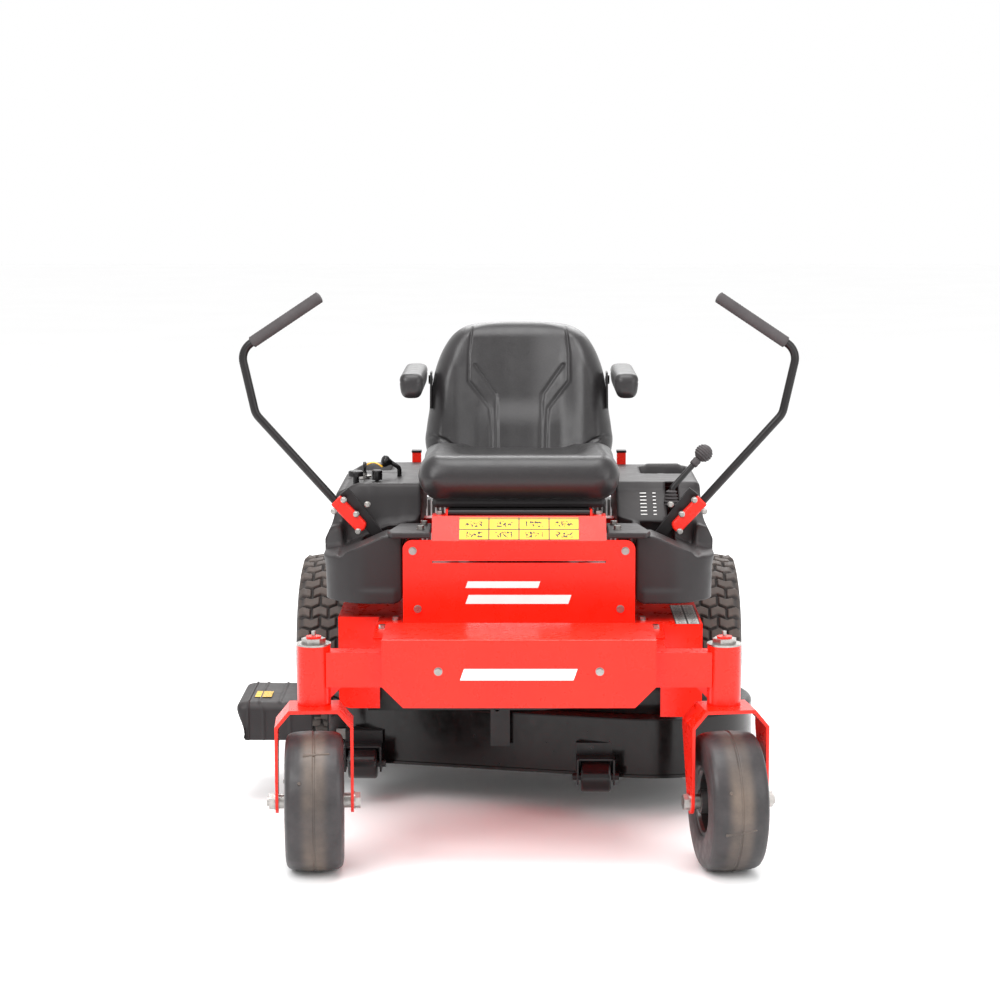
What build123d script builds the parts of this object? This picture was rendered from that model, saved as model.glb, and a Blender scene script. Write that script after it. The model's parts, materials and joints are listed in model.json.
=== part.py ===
from build123d import *
import math
import os

# Zero-turn riding mower. Millimetres, +Z up, the operator faces -Y, +X is the machine's left.
# The origin is on the ground under the middle of the machine.

# ---- driving dimensions -----------------------------------------------------------------
PIVOT_X = 411            # caster pivots, each side of the centre line
PIVOT_Y = -715
CASTER_TRAIL = 45        # the axle stands ahead of the pivot after rolling backwards
CASTER_YAW = {"right": 3.5, "left": 8}       # degrees about +Z
CASTER_R, CASTER_W, CASTER_RIM_R = 139.7, 112, 64
REAR_AXLE_Y = 418
REAR_R, REAR_W, REAR_RIM_R = 228.6, 200, 102
REAR_X = 431             # middle plane of each rear tyre
SHEET = 4                # steel sheet
RAIL_X = (246, 296)
RAIL_Z = (370, 434)
FLOOR_Z = 438            # top of the foot platform
BUMPER_Y = (-777, -587)
BUMPER_X, BUMPER_Z = 272, (332, 469)
WING_X = 388
WING_FRONT = {"right": -342, "left": -430}
WING_LOW = 238
TOWER_Y = -427
TOWER_X = (184, 245)
TOWER_TOP = 617
SHELF_Z = 633
SEAT_HINGE = (-382, 669.5)   # y, z
LEVER_Y = -230
SHAFT_Z = 570                # cross shaft that the steering levers turn about
DECK_Z = (86, 225)
DECK_R = 232
SPINDLE = {"right": (-218, 10), "left": (290, -119)}
BLADE_R = 222
CHUTE_HINGE = (-461, 218)    # x, z
ROLLER_R, ROLLER_Z = 33, 95
ROLLERS = [(165, -374), (-343, -252)]
ENGINE_Y = REAR_AXLE_Y
HEIGHT_PIVOT = (330, -165, 530)
OVERHANG_X = 217             # inner edge of the consoles, over the tower sides
RUN_FIT = 0.05               # radial play of a turning fit
GAP = 0.4                    # clearance between parts that move past each other

SIDES = {"right": -1, "left": 1}
BASE = (Align.CENTER, Align.CENTER, Align.MIN)
os.makedirs("parts", exist_ok=True)


# ---- small builders -----------------------------------------------------------------------
def block(x, y, z):
    """A box between the low and high values of x, y and z."""
    spans = [(min(pair), max(pair)) for pair in (x, y, z)]
    middle = [(low + high) / 2 for low, high in spans]
    return Pos(*middle) * Box(*[high - low for low, high in spans])


def rod(start, end, radius):
    """A round bar from start to end."""
    run = Vector(*end) - Vector(*start)
    return Plane(origin=start, z_dir=run) * Cylinder(radius, run.length, align=BASE)


def pipe(start, end, radius, bore):
    """A round tube from start to end."""
    return rod(start, end, radius) - rod(start, end, bore)


def hex_bar(start, end, flats):
    """A hexagonal bar, measured across its flats."""
    run = Vector(*end) - Vector(*start)
    face = Plane(origin=start, z_dir=run) * RegularPolygon(flats / 2, 6, major_radius=False)
    return extrude(face, run.length, dir=run.normalized())


def along_x(points, x):
    """The (y, z) outline carried from x[0] to x[1]."""
    face = make_face(Plane.YZ * Polyline(*points, close=True))
    return Pos(X=min(x)) * extrude(face, abs(x[1] - x[0]), dir=(1, 0, 0))


def along_y(points, y):
    """The (x, z) outline carried from y[0] to y[1]."""
    face = make_face(Polyline(*[(a, 0, b) for a, b in points], close=True))
    return Pos(Y=min(y)) * extrude(face, abs(y[1] - y[0]), dir=(0, 1, 0))


def shrunk(points, wall):
    """An outline moved inwards by wall, its corners mitred; the points run anticlockwise."""
    result = []
    for before, here, after in zip(points[-1:] + points[:-1], points, points[1:] + points[:1]):
        a = math.atan2(here[1] - before[1], here[0] - before[0])
        b = math.atan2(after[1] - here[1], after[0] - here[0])
        turn = (b - a) / 2
        reach = wall / math.cos(turn)
        result.append((here[0] - reach * math.sin(a + turn), here[1] + reach * math.cos(a + turn)))
    return result


def strip(points, wall):
    """The outline of a bent sheet lying to the left of an open line of points."""
    closed = [(2 * points[0][0] - points[1][0], 2 * points[0][1] - points[1][1])] + points
    closed.append((2 * points[-1][0] - points[-2][0], 2 * points[-1][1] - points[-2][1]))
    inner = []
    for before, here, after in zip(closed, closed[1:], closed[2:]):
        a = math.atan2(here[1] - before[1], here[0] - before[0])
        b = math.atan2(after[1] - here[1], after[0] - here[0])
        turn = ((b - a + math.pi) % (2 * math.pi) - math.pi) / 2
        reach = wall / math.cos(turn)
        inner.append((here[0] - reach * math.sin(a + turn), here[1] + reach * math.cos(a + turn)))
    return points + inner[::-1]


def turned(points):
    """The (x, radius) outline turned about the X axis."""
    return revolve(make_face(Polyline(*points, close=True)), axis=Axis.X)


def bent_tube(points, bend, radius, bore=0):
    """A tube along straight runs joined by arcs of the radius bend."""
    path = FilletPolyline(*points, radius=bend)
    start = Plane(origin=path @ 0, z_dir=path % 0)
    ring = start * Circle(radius)
    if bore:
        ring -= start * Circle(bore)
    return sweep(ring, path=path)


def flange_bolt(place, direction, grip=12):
    """An M8 flange bolt: its flange sits at place and its shank runs against direction."""
    out = Vector(*direction)
    at = Vector(*place)
    flange = rod(tuple(at), tuple(at + out * 2), 8.5)
    head = hex_bar(tuple(at + out * 2), tuple(at + out * 8), 13)
    shank = rod(tuple(at - out * grip), tuple(at), 4)
    return flange + head + shank


def drilled(shape, places, direction, radius=4.2, reach=16):
    """The shape with a clearance hole at each place."""
    out = Vector(*direction)
    for place in places:
        at = Vector(*place)
        shape -= rod(tuple(at - out * reach), tuple(at + out * reach), radius)
    return shape


def pair(shape):
    """A left-hand shape and its mirror image, as one group."""
    return Compound([shape, mirror(shape, about=Plane.YZ)])


def save(shape, node):
    """Write one sub-part."""
    export_step(shape, "parts/" + node + ".step")


# ---- bolts and where they go -----------------------------------------------------------------
BUMPER_BOLTS = [(x, BUMPER_Y[0], 406) for x in (-160, 160)]
FLOOR_BOLTS = [(s * x, y, FLOOR_Z) for s in (-1, 1) for x, y in ((286, -480), (262, -380), (270, -540))]
TOWER_BOLTS = [(s * 224, TOWER_Y, 594) for s in (-1, 1)]
PANEL_BOLTS = [(s * 214, TOWER_Y, 470) for s in (-1, 1)]
FLAP_BOLTS = [(s * 168, -362, 663) for s in (-1, 1)]
TAB_BOLTS = [(s * x, y, SHELF_Z) for s in (-1, 1) for x, y in ((204, -305), (209, -378))]


def frame_bolts():
    front, up = (0, -1, 0), (0, 0, 1)
    bolts = [flange_bolt(p, front) for p in BUMPER_BOLTS + TOWER_BOLTS + PANEL_BOLTS]
    bolts += [flange_bolt(p, up, 9) for p in FLOOR_BOLTS + FLAP_BOLTS + TAB_BOLTS]
    return Compound(bolts)


# ---- welded frame and steel panels ---------------------------------------------------------------
def main_frame():
    """Two box rails, three cross members, the engine plate and the battery and tank shelves."""
    ends = (PIVOT_Y + 25, 650)
    rail = block(RAIL_X, ends, RAIL_Z)
    rail -= block((RAIL_X[0] + SHEET, RAIL_X[1] - SHEET), ends, (RAIL_Z[0] + SHEET, RAIL_Z[1] - SHEET))
    shelf = block((296, 300), (250, 560), (400, 470)) + block((260, 400), (250, 560), (466, 470))
    frame = rail + shelf
    frame += mirror(frame, about=Plane.YZ)
    for y in ((-320, -280), (150, 190), (610, 650)):
        frame += block((-RAIL_X[0], RAIL_X[0]), y, RAIL_Z)
    plate = block((-RAIL_X[0], RAIL_X[0]), (190, 610), (424, 434))
    frame += plate - rod((0, ENGINE_Y, 400), (0, ENGINE_Y, 440), 45)
    return drilled(frame, FLOOR_BOLTS, (0, 0, 1))


def front_beam():
    """The box beam across the front, with a pivot tube and a gusset at each end."""
    low, high = 366, 436
    beam = block((-385, 385), (PIVOT_Y - 25, PIVOT_Y + 25), (low, high))
    beam -= block((-385, 385), (PIVOT_Y - 20, PIVOT_Y + 20), (low + 5, high - 5))
    for sign in (-1, 1):
        beam += rod((sign * PIVOT_X, PIVOT_Y, 328.5), (sign * PIVOT_X, PIVOT_Y, 448), 33.5)
        gusset = [(sign * 380, 366), (sign * 380, 338), (sign * 352, 366)]
        beam += along_y(gusset, (PIVOT_Y - 3, PIVOT_Y + 3))
        beam += block((sign * 144, sign * 176), (BUMPER_Y[0] + SHEET, PIVOT_Y - 25), (384, 428))
    for sign in (-1, 1):
        beam -= rod((sign * PIVOT_X, PIVOT_Y, 320), (sign * PIVOT_X, PIVOT_Y, 450), 15 + RUN_FIT)
    return drilled(beam, BUMPER_BOLTS, (0, -1, 0))


def front_bumper():
    """The folded plate between the pivots: a chamfered face, a top, and flanges on three sides."""
    low, high = BUMPER_Z
    x, cut = BUMPER_X, 42
    face = [(-x, high), (-x, low + cut), (-x + cut, low), (x - cut, low), (x, low + cut), (x, high)]
    plate = along_y(face, (BUMPER_Y[0], BUMPER_Y[0] + SHEET))
    plate += block((-x, x), BUMPER_Y, (high - SHEET, high))
    plate += block((-x, x), (BUMPER_Y[1] - SHEET, BUMPER_Y[1]), (RAIL_Z[1], high))
    for sign in (-1, 1):
        plate += block((sign * (x - SHEET), sign * x), (PIVOT_Y + 30, BUMPER_Y[1]), (RAIL_Z[1], high))
    bend = plate.edges().filter_by(Axis.X).group_by(Axis.Z)[-1].sort_by(Axis.Y)[0]
    plate = fillet(bend, 3)
    return drilled(plate, BUMPER_BOLTS, (0, -1, 0))


def floor_pan():
    """The foot platform, with a deep box-fronted wing outside each rail."""
    top = (FLOOR_Z - SHEET, FLOOR_Z)
    pan = block((-300, 300), (BUMPER_Y[1], 190), top)
    for side, sign in SIDES.items():
        front = WING_FRONT[side]
        pan += block((sign * 300, sign * WING_X), (front, 130), top)
        wall = block((sign * 300, sign * WING_X), (front, front + SHEET), (WING_LOW, FLOOR_Z))
        corner = wall.edges().filter_by(Axis.Y).group_by(Axis.Z)[0].sort_by(Axis.X)
        pan += fillet(corner[0] if sign < 0 else corner[-1], 26)
        pan += block((sign * (WING_X - SHEET), sign * WING_X), (front, 130), (350, FLOOR_Z))
    return drilled(pan, FLOOR_BOLTS, (0, 0, 1))


def seat_tower():
    """Two uprights with rounded shoulders, side plates, the seat's rest bar and the lift lever's pin."""
    plate = block(TOWER_X, (TOWER_Y, TOWER_Y + SHEET), (FLOOR_Z, TOWER_TOP))
    shoulder = plate.edges().filter_by(Axis.Y).group_by(Axis.Z)[-1].sort_by(Axis.X)[-1]
    upright = fillet(shoulder, 20)
    upright += block((241, 245), (TOWER_Y, 190), (FLOOR_Z, 600))
    upright -= rod((230, LEVER_Y, SHAFT_Z), (250, LEVER_Y, SHAFT_Z), 12 + RUN_FIT)
    upright += block((184, 188), (TOWER_Y, TOWER_Y + 60), (FLOOR_Z, TOWER_TOP - 8))
    tower = upright + mirror(upright, about=Plane.YZ)
    tower += block((-241, 241), (30, 70), (566, 600))
    for x in (-150, 150):
        tower += rod((x, 50, 600), (x, 50, SEAT_HINGE[1] - 4 - GAP), 14)
    x, y, z = HEIGHT_PIVOT
    tower += rod((245, y, z), (x + 24, y, z), 8) + block((245, 248), (y - 25, y + 25), (z - 30, z + 30))
    return drilled(tower, TOWER_BOLTS + PANEL_BOLTS, (0, -1, 0))


def tower_panel():
    """The flat panel between the uprights, with a folded lip at its top edge."""
    panel = block((-184, 184), (TOWER_Y, TOWER_Y + 3), (FLOOR_Z, 568))
    return panel + block((-184, 184), (TOWER_Y, TOWER_Y + 26), (565, 568))


def tower_flap():
    """The bent cover under the seat: upright, slope, top flange, and the seat's hinge pin on ears."""
    line = [(TOWER_Y, 573), (TOWER_Y, 615), (-389, 663), (-343, 663)]
    flap = along_x(strip(line[::-1], 3), (-184, 184))
    y, z = SEAT_HINGE
    for sign in (-1, 1):
        flap += block((sign * 151, sign * 155), (y - 7, y + 7), (662, z + 7))
    flap += rod((-155, y, z), (155, y, z), 3 - RUN_FIT)
    return drilled(flap, FLAP_BOLTS, (0, 0, 1))


def rear_guard():
    """The bent tube round the engine, its plates and hitch tongue, and two posts with a cross hole."""
    line = [(271, 650, 402), (271, 885, 402), (-271, 885, 402), (-271, 650, 402)]
    guard = bent_tube(line, 70, 16, 12)
    upper = [(230, 867, 418), (230, 885, 560), (-230, 885, 560), (-230, 867, 418)]
    guard += bent_tube(upper, 50, 12)
    tongue = block((-60, 60), (868, 900), (340, 390))
    guard += tongue + block((-60, 60), (820, 900), (340, 348))
    guard -= rod((0, 850, 330), (0, 850, 360), 9.5)
    guard -= rod((0, 850, 348), (0, 850, 352), 9.5)
    posts = []
    for sign in (-1, 1):
        post = block((sign * 231, sign * 252), (240, 261), (FLOOR_Z - 4, 728))
        posts.append(post - rod((sign * 225, 250.5, 709), (sign * 258, 250.5, 709), 6))
    return Compound([guard] + posts)


# ---- moulded side consoles -------------------------------------------------------------------
def fender(side):
    """A moulded shell open underneath: a nose beside the tower and a taller console behind it."""
    nose = [(249, 476), (416, 476), (424, 560), (408, 603), (249, 603)]
    console = [(252, 476), (416, 476), (424, 560), (409, 696), (400, 705), (256, 705), (252, 701)]
    lean = {"right": [(-172, 560), (235, 476), (235, 705), (-150, 705)],
            "left": [(-208, 603), (235, 476), (235, 700), (-105, 700), (-200, 628)]}[side]
    nose_y = (-400, -150)
    outer = along_y(nose, nose_y) + (along_y(console, (-220, 235)) & along_x(lean, (200, 430)))
    inner = along_y(shrunk(nose, SHEET), (nose_y[0] + SHEET, nose_y[1]))
    hollow = along_y(shrunk(console, SHEET), (-230, 235 - SHEET))
    hollow &= along_x(shrunk(lean, SHEET), (200, 430))
    inner += hollow
    shell = outer - inner - Pos(Z=-9) * inner - Pos(Z=-60) * inner
    ledge = block((OVERHANG_X, 256), (-230, 235), (632, 705)) & along_x(lean, (200, 430))
    under = block((OVERHANG_X + SHEET, 252), (-230, 231), (620, 705)) & along_x(shrunk(lean, SHEET), (200, 430))
    shell += ledge - under
    tab = block((200, 252), (-433, -284), (SHELF_Z - 4, SHELF_Z))
    tab += block((249, 253), (-400, -284), (596, SHELF_Z))
    shell = drilled(shell + tab, [p for p in TAB_BOLTS if p[0] > 0], (0, 0, 1))
    shell -= block((262, 345), (LEVER_Y - 46, LEVER_Y + 24), (590, 640))
    shell -= rod((240, LEVER_Y, SHAFT_Z), (262, LEVER_Y, SHAFT_Z), 14)
    if side == "left":
        slot = block((316, 368), (-212, -92), (590, 720))
        slot += rod((240, *HEIGHT_PIVOT[1:]), (262, *HEIGHT_PIVOT[1:]), 10)
        recess = block((285, 385), (60, 190), (690, 720))
        return shell - slot - recess
    for x, y, radius in KEY_HOLES:
        shell -= rod((-x, y, 640), (-x, y, 715), radius)
    shell -= block((250, 290), (-60, 20), (640, 710))
    return mirror(shell, about=Plane.YZ)


# ---- controls on the right-hand console ----------------------------------------------------------
KEY_AT = (-346, -55)
CHOKE_AT = (-316, -105)
PTO_AT = (-362, -118)
THROTTLE_AT = (-270, -20)
KEY_HOLES = [(*KEY_AT, 11), (*CHOKE_AT, 4.5), (*PTO_AT, 7)]
CONSOLE_TOP = 705


def key_switch():
    """The ignition switch barrel through the console, with its bezel and nut."""
    x, y = KEY_AT
    top = CONSOLE_TOP
    barrel = rod((x, y, top - 38), (x, y, top), 10.9) + rod((x, y, top), (x, y, top + 4), 15)
    return barrel - rod((x, y, top - 20), (x, y, top + 4), 4.5 + RUN_FIT)


def ignition_key():
    """The key: a round stem, a flat bow and its ring hole."""
    x, y = KEY_AT
    top = CONSOLE_TOP + 4
    stem = rod((x, y, top - 23), (x, y, top + 8), 4.5)
    bow = block((x - 2, x + 2), (y - 12, y + 12), (top + 6, top + 32))
    bow = fillet(bow.edges().filter_by(Axis.X), 8)
    return stem + bow - rod((x - 5, y, top + 25), (x + 5, y, top + 25), 2.5)


def choke_knob():
    """A pull knob on its rod."""
    x, y = CHOKE_AT
    top = CONSOLE_TOP + GAP
    knob = rod((x, y, top), (x, y, top + 22), 12)
    knob = fillet(knob.edges().group_by(Axis.Z)[-1], 4)
    return knob + rod((x, y, top - 60), (x, y, top), 4.4)


def blade_switch():
    """The mushroom pull switch that engages the blades."""
    x, y = PTO_AT
    top = CONSOLE_TOP + 10
    cap = rod((x, y, top), (x, y, top + 12), 17)
    cap = fillet(cap.edges().group_by(Axis.Z)[-1], 4)
    return cap + rod((x, y, top - 45), (x, y, top), 6.9)


def throttle_lever():
    """A bent flat lever on a pivot pin, with its knob."""
    x, y = THROTTLE_AT
    blade = block((x - 2, x + 2), (y - 7, y + 7), (650, 716))
    pivot = rod((x - 7, y, 655), (x + 7, y, 655), 9)
    knob = fillet(block((x - 8, x + 8), (y - 12, y + 12), (716, 740)).edges(), 5)
    return blade + pivot + knob


def height_lever():
    """The cutting-height lever: a bent rod from its pivot tube up to a ball knob."""
    foot, bend, grip = HEIGHT_PIVOT, (337, -145, 669), (409, -125, 767)
    tube = pipe((foot[0] - 20, foot[1], foot[2]), (foot[0] + 20, foot[1], foot[2]), 14, 8 + RUN_FIT)
    arm = rod((foot[0], foot[1], foot[2] + 11), bend, 7)
    shaft = rod(bend, grip, 7) + Pos(*bend) * Sphere(7)
    return tube + arm + shaft + Pos(*grip) * Sphere(18)


# ---- steering levers -----------------------------------------------------------------------------
FOLD_AT = (300, 590)            # x, z of the fore-aft pin that a lever folds out about
LEVER_SET = LEVER_Y - 17        # plane of the tube, ahead of the bar


def control_arm():
    """The cross shaft through the tower side, its yoke plate and the fold pin."""
    x, z = FOLD_AT
    shaft = rod((215, LEVER_Y, SHAFT_Z), (280, LEVER_Y, SHAFT_Z), 12)
    outline = [(264, 556), (296, 556), (318, 580), (318, 604), (284, 604)]
    yoke = along_y(outline, (LEVER_Y + 4.5, LEVER_Y + 10.5))
    yoke += block((264, 280), (LEVER_Y, LEVER_Y + 6), (560, 580))
    return shaft + yoke + rod((x, LEVER_Y - 9, z), (x, LEVER_Y + 10, z), 6)


def lever_tube():
    """The bent tube with its clamp channel and bolts, and the flat bar that stands on the fold pin."""
    y, (x, z) = LEVER_Y, FOLD_AT
    run = [(372, LEVER_SET, 646), (569.5, LEVER_SET, 866.4), (600, LEVER_SET, 1004)]
    tube = bent_tube(run + [(432, LEVER_SET, 1116)], 40, 9, 6.5)
    outline = [(336, 630), (353, 613), (408, 667), (389, 690)]
    clamp = along_y(outline, (y - 8, y - 4)) + along_y(outline, (LEVER_SET - 12, LEVER_SET - 9))
    clamp += along_y([(399, 677), (408, 667), (353, 613), (346, 620)], (LEVER_SET - 12, y - 4))
    for u, v in ((380, 676), (353, 645)):
        clamp += rod((u, LEVER_SET - 12, v), (u, y - 4, v), 4)
        clamp += hex_bar((u, LEVER_SET - 18, v), (u, LEVER_SET - 12, v), 13)
    bar = along_y([(290, 598), (310, 581), (391, 688), (371, 704)], (y - 4, y + 4))
    bar += rod((x, y - 4, z), (x, y + 4, z), 13)
    bar -= rod((x, y - 10, z), (x, y + 10, z), 6 + RUN_FIT)
    return Compound([tube + clamp, bar])


def lever_grip():
    """The rubber grip over the upper leg of the lever."""
    low, high = Vector(600, LEVER_SET, 1004), Vector(432, LEVER_SET, 1116)
    way = (high - low).normalized()
    start, end = low + way * 34, high + way * 6
    grip = rod(tuple(start), tuple(end), 12.5)
    return grip - rod(tuple(start), tuple(high), 9)


# ---- seat ------------------------------------------------------------------------------------------
SEAT_W = 212
BACK_W = 198
PAN_Z = (673, 700)
BACK_LOW, BACK_HIGH = (18, 790), (105, 1037)     # y, z of the front face of the backrest
BACK_THICK = 88
ARM_HINGE = (90, 912)                            # y, z


def seat_plate():
    """The hinged plate under the seat, with its hinge barrel, and the two armrest brackets."""
    y, z = SEAT_HINGE
    plate = block((-150, 150), (y, 85), (z - 4, z)) + rod((-150, y, z), (150, y, z), 5.8)
    plate -= rod((-160, y, z), (160, y, z), 3)
    riser = block((-150, 150), (y + 40, 60), (z, PAN_Z[0]))
    bracket = along_x([(40, 850), (130, 850), (120, 930), (70, 930)], (BACK_W + 1, BACK_W + 5))
    bracket = drilled(bracket, [(BACK_W + 3, *ARM_HINGE)], (1, 0, 0), 6)
    return Compound([plate + riser, bracket, mirror(bracket, about=Plane.YZ)])


def seat_shell():
    """The moulded shell that carries the cushion and backs the backrest."""
    pan = block((-195, 195), (-370, 60), PAN_Z)
    low = [(20, 673), (BACK_LOW[0] + BACK_THICK + 8, 673), (BACK_LOW[0] + BACK_THICK + 8, 790)]
    high = [(BACK_HIGH[0] + BACK_THICK + 8, 1010), (BACK_HIGH[0] + BACK_THICK, 1010)]
    inner = [(BACK_LOW[0] + BACK_THICK, 790), (BACK_LOW[0] + BACK_THICK, 700), (20, 700)]
    outline = [(-195, 660), (195, 660), (195, 880), (172, 940), (125, 1012)]
    outline += [(-125, 1012), (-172, 940), (-195, 880)]
    return pan + (along_x(low + high + inner, (-185, 185)) & along_y(outline, (-50, 260)))


def seat_cushion():
    """The padded seat: a rounded block with side bolsters."""
    body = block((-SEAT_W, SEAT_W), (-378, BACK_LOW[0] - 2), (PAN_Z[1], 785))
    body = fillet(body.edges().group_by(Axis.Z)[-1], 22)
    return body


def seat_backrest():
    """The padded back, leaning and rounded at its corners."""
    (y0, z0), (y1, z1) = BACK_LOW, BACK_HIGH
    side = [(y0, z0), (y0 + BACK_THICK, z0), (y1 + BACK_THICK, z1), (y1, z1)]
    outline = [(-BACK_W, z0), (BACK_W, z0), (BACK_W, 880), (182, 960), (130, z1)]
    outline += [(-130, z1), (-182, 960), (-BACK_W, 880)]
    return along_x(side, (-BACK_W, BACK_W)) & along_y(outline, (0, 250))


def armrest():
    """A padded armrest on its pivot pin."""
    y, z = ARM_HINGE
    pad = block((BACK_W + 6, BACK_W + 60), (-200, 112), (896, 950))
    pad = fillet(pad.edges(), 14)
    pin = rod((BACK_W + 0.6, y, z), (BACK_W + 12, y, z), 6 - RUN_FIT)
    return pad + pin


# ---- casters -------------------------------------------------------------------------------------
def at_caster(side, shape):
    """Move a shape made about a pivot at the origin to its own pivot, turned to its yaw."""
    return Pos(SIDES[side] * PIVOT_X, PIVOT_Y, 0) * Rot(Z=CASTER_YAW[side]) * shape


def caster_fork():
    """The bent strap fork with its tapering legs, and the pivot spindle welded to it."""
    axle = (-CASTER_TRAIL, CASTER_R)
    front = [(78, 112), (78, 294), (50, 328), (-50, 328), (-78, 294), (-78, 112)]
    inner = [(72, 100), (72, 291.5), (47, 321), (-47, 321), (-72, 291.5), (-72, 100)]
    strap = along_y(front, (-120, 120)) - along_y(inner, (-130, 130))
    profile = [(-69, 140), (-69, 328), (31, 328), (31, 280), (-21, 140)]
    strap &= along_x(profile, (-90, 90)) + rod((-90, *axle), (90, *axle), 24)
    strap -= rod((-90, *axle), (90, *axle), 9.6)
    return strap + rod((0, 0, 328), (0, 0, 466), 15)


def caster_hardware(sign):
    """Axle bolt with spacers, washers and nuts, and the cap, nut and grease nipple on the spindle."""
    y, z = -CASTER_TRAIL, CASTER_R
    inner, outer = -sign, sign
    bolt = rod((inner * 78, y, z), (outer * 95, y, z), 9.5)
    for end in (inner, outer):
        bolt += rod((end * 78, y, z), (end * 81, y, z), 17)
        bolt += hex_bar((end * 81, y, z), (end * 91, y, z), 28)
    spacers = [pipe((s * 58, y, z), (s * 72, y, z), 15, 9.5) for s in (-1, 1)]
    cap = pipe((0, 0, 448 + GAP), (0, 0, 452), 35, 15)
    nut = hex_bar((0, 0, 452), (0, 0, 462), 42) - rod((0, 0, 440), (0, 0, 470), 15)
    nipple = rod((0, 0, 466), (0, 0, 476), 4)
    return Compound([bolt + spacers[0] + spacers[1], cap, nut, nipple])


def caster_tyre():
    """A smooth-tread pneumatic tyre, open at the beads."""
    half = CASTER_W / 2
    outer = [(-44, 64), (-half + 4, 74), (-half, 92), (-half, 112), (-half + 7, 129), (-half + 20, 137)]
    outer += [(-20, CASTER_R)]
    inner = [(-12, CASTER_R - 9), (-half + 22, 128), (-half + 12, 118), (-half + 7, 100), (-half + 10, 80)]
    inner += [(-37, 64)]
    left = outer + [(-x, r) for x, r in outer[::-1]]
    hollow = inner[::-1] + [(-x, r) for x, r in inner]
    return turned(left + hollow[::-1])


def caster_rim():
    """The two-piece rim with its hub and the valve."""
    barrel = [(-50, 62), (-52, 69), (-48, 69), (-44, 64), (44, 64), (48, 69), (52, 69), (50, 62)]
    barrel += [(44, 59), (6, 56), (6, 24), (57, 24), (57, 9.5 + RUN_FIT), (-57, 9.5 + RUN_FIT)]
    barrel += [(-57, 24), (-6, 24), (-6, 56), (-44, 59)]
    rim = turned(barrel)
    return rim + rod((30, 0, 40), (62, 0, 40), 4) + block((0, 34), (-4, 4), (36, 44))


# ---- rear wheels --------------------------------------------------------------------------------
def rear_tyre():
    """A turf tyre carcass, open at the beads."""
    half = REAR_W / 2
    outer = [(-78, REAR_RIM_R), (-half + 4, 122), (-half, 150), (-half, 185), (-half + 8, 208)]
    outer += [(-half + 24, 223), (-50, REAR_R)]
    inner = [(-44, REAR_R - 16), (-half + 30, 208), (-half + 16, 196), (-half + 9, 178), (-half + 9, 150)]
    inner += [(-half + 14, 126), (-70, REAR_RIM_R)]
    right = [(-x, r) for x, r in outer[::-1]]
    hollow = inner[::-1] + [(-x, r) for x, r in inner]
    return turned(outer + right + hollow[::-1])


def rear_rim():
    """The dished rim, its drive hub and stub axle, four wheel nuts and the valve; outside is +X."""
    r = REAR_RIM_R
    shape = [(-82, r - 2), (-90, r + 9), (-86.1, r + 9), (-78, r), (78, r), (86.1, r + 9), (90, r + 9)]
    shape += [(82, r - 2)]
    shape += [(78, r - 5), (30, r - 8), (22, 60), (22, 34), (34, 30), (34, 0), (-150, 0), (-150, 12.5)]
    shape += [(-60, 12.5), (-60, 40), (4, 40), (14, 60), (22, r - 10), (-78, r - 5)]
    rim = turned(shape)
    for k in range(4):
        angle = math.radians(45 + 90 * k)
        y, z = 48 * math.cos(angle), 48 * math.sin(angle)
        rim += hex_bar((18, y, z), (36, y, z), 19)
    return rim + rod((24, 0, 78), (60, 0, 78), 5)


# ---- drive ----------------------------------------------------------------------------------------
HYDRO_X = 190


def transmission():
    """A hydrostatic gearbox: case, axle boss, input boss and two mounting ears."""
    case = fillet(block((130, 250), (350, 500), (160, 320)).edges(), 12)
    boss = rod((250, REAR_AXLE_Y, REAR_R), (295, REAR_AXLE_Y, REAR_R), 38)
    boss += rod((HYDRO_X, REAR_AXLE_Y, 320), (HYDRO_X, REAR_AXLE_Y, 336), 24)
    ears = block((246, 262), (380, 400), (300, RAIL_Z[0])) + block((246, 262), (440, 460), (300, RAIL_Z[0]))
    body = case + boss + ears
    body -= rod((200, REAR_AXLE_Y, REAR_R), (320, REAR_AXLE_Y, REAR_R), 12.5 + RUN_FIT)
    return body - rod((HYDRO_X, REAR_AXLE_Y, 300), (HYDRO_X, REAR_AXLE_Y, 340), 8 + RUN_FIT)


def grooved_pulley(radius, low, high):
    """A V pulley about Z between two heights, its groove 9 deep."""
    mid = (low + high) / 2
    half = (high - low) / 2
    line = [(0, low), (radius, low), (radius, mid - half + 2), (radius - 9, mid - 3)]
    line += [(radius - 9, mid + 3), (radius, mid + half - 2), (radius, high), (0, high)]
    face = make_face(Polyline(*[(a, 0, b) for a, b in line], close=True))
    return revolve(face, axis=Axis.Z)


def drive_pulley(sign):
    """An input pulley on its shaft, above a transmission."""
    wheel = grooved_pulley(58, 340, 362)
    return Pos(sign * HYDRO_X, REAR_AXLE_Y) * (wheel + rod((0, 0, 310), (0, 0, 340), 8))


def loop_belt(centres, radius, z, depth):
    """A closed belt round equal circles: the hull of the circles less the hull of smaller ones."""
    def hull(r):
        """The hull of equal circles, as their discs, the strips between them and their triangle."""
        face = None
        for x, y in centres:
            disc = Pos(x, y) * Circle(r)
            face = disc if face is None else face + disc
        for k, (x, y) in enumerate(centres):
            u, v = centres[(k + 1) % len(centres)]
            run = math.hypot(u - x, v - y)
            turn = math.degrees(math.atan2(v - y, u - x))
            face += Pos((x + u) / 2, (y + v) / 2) * Rot(Z=turn) * Rectangle(run, 2 * r)
        if len(centres) > 2:
            face += make_face(Polyline(*centres, close=True))
        return face
    ring = hull(radius) - hull(radius - depth)
    return Pos(Z=z[0]) * extrude(ring, z[1] - z[0], dir=(0, 0, 1))


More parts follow.
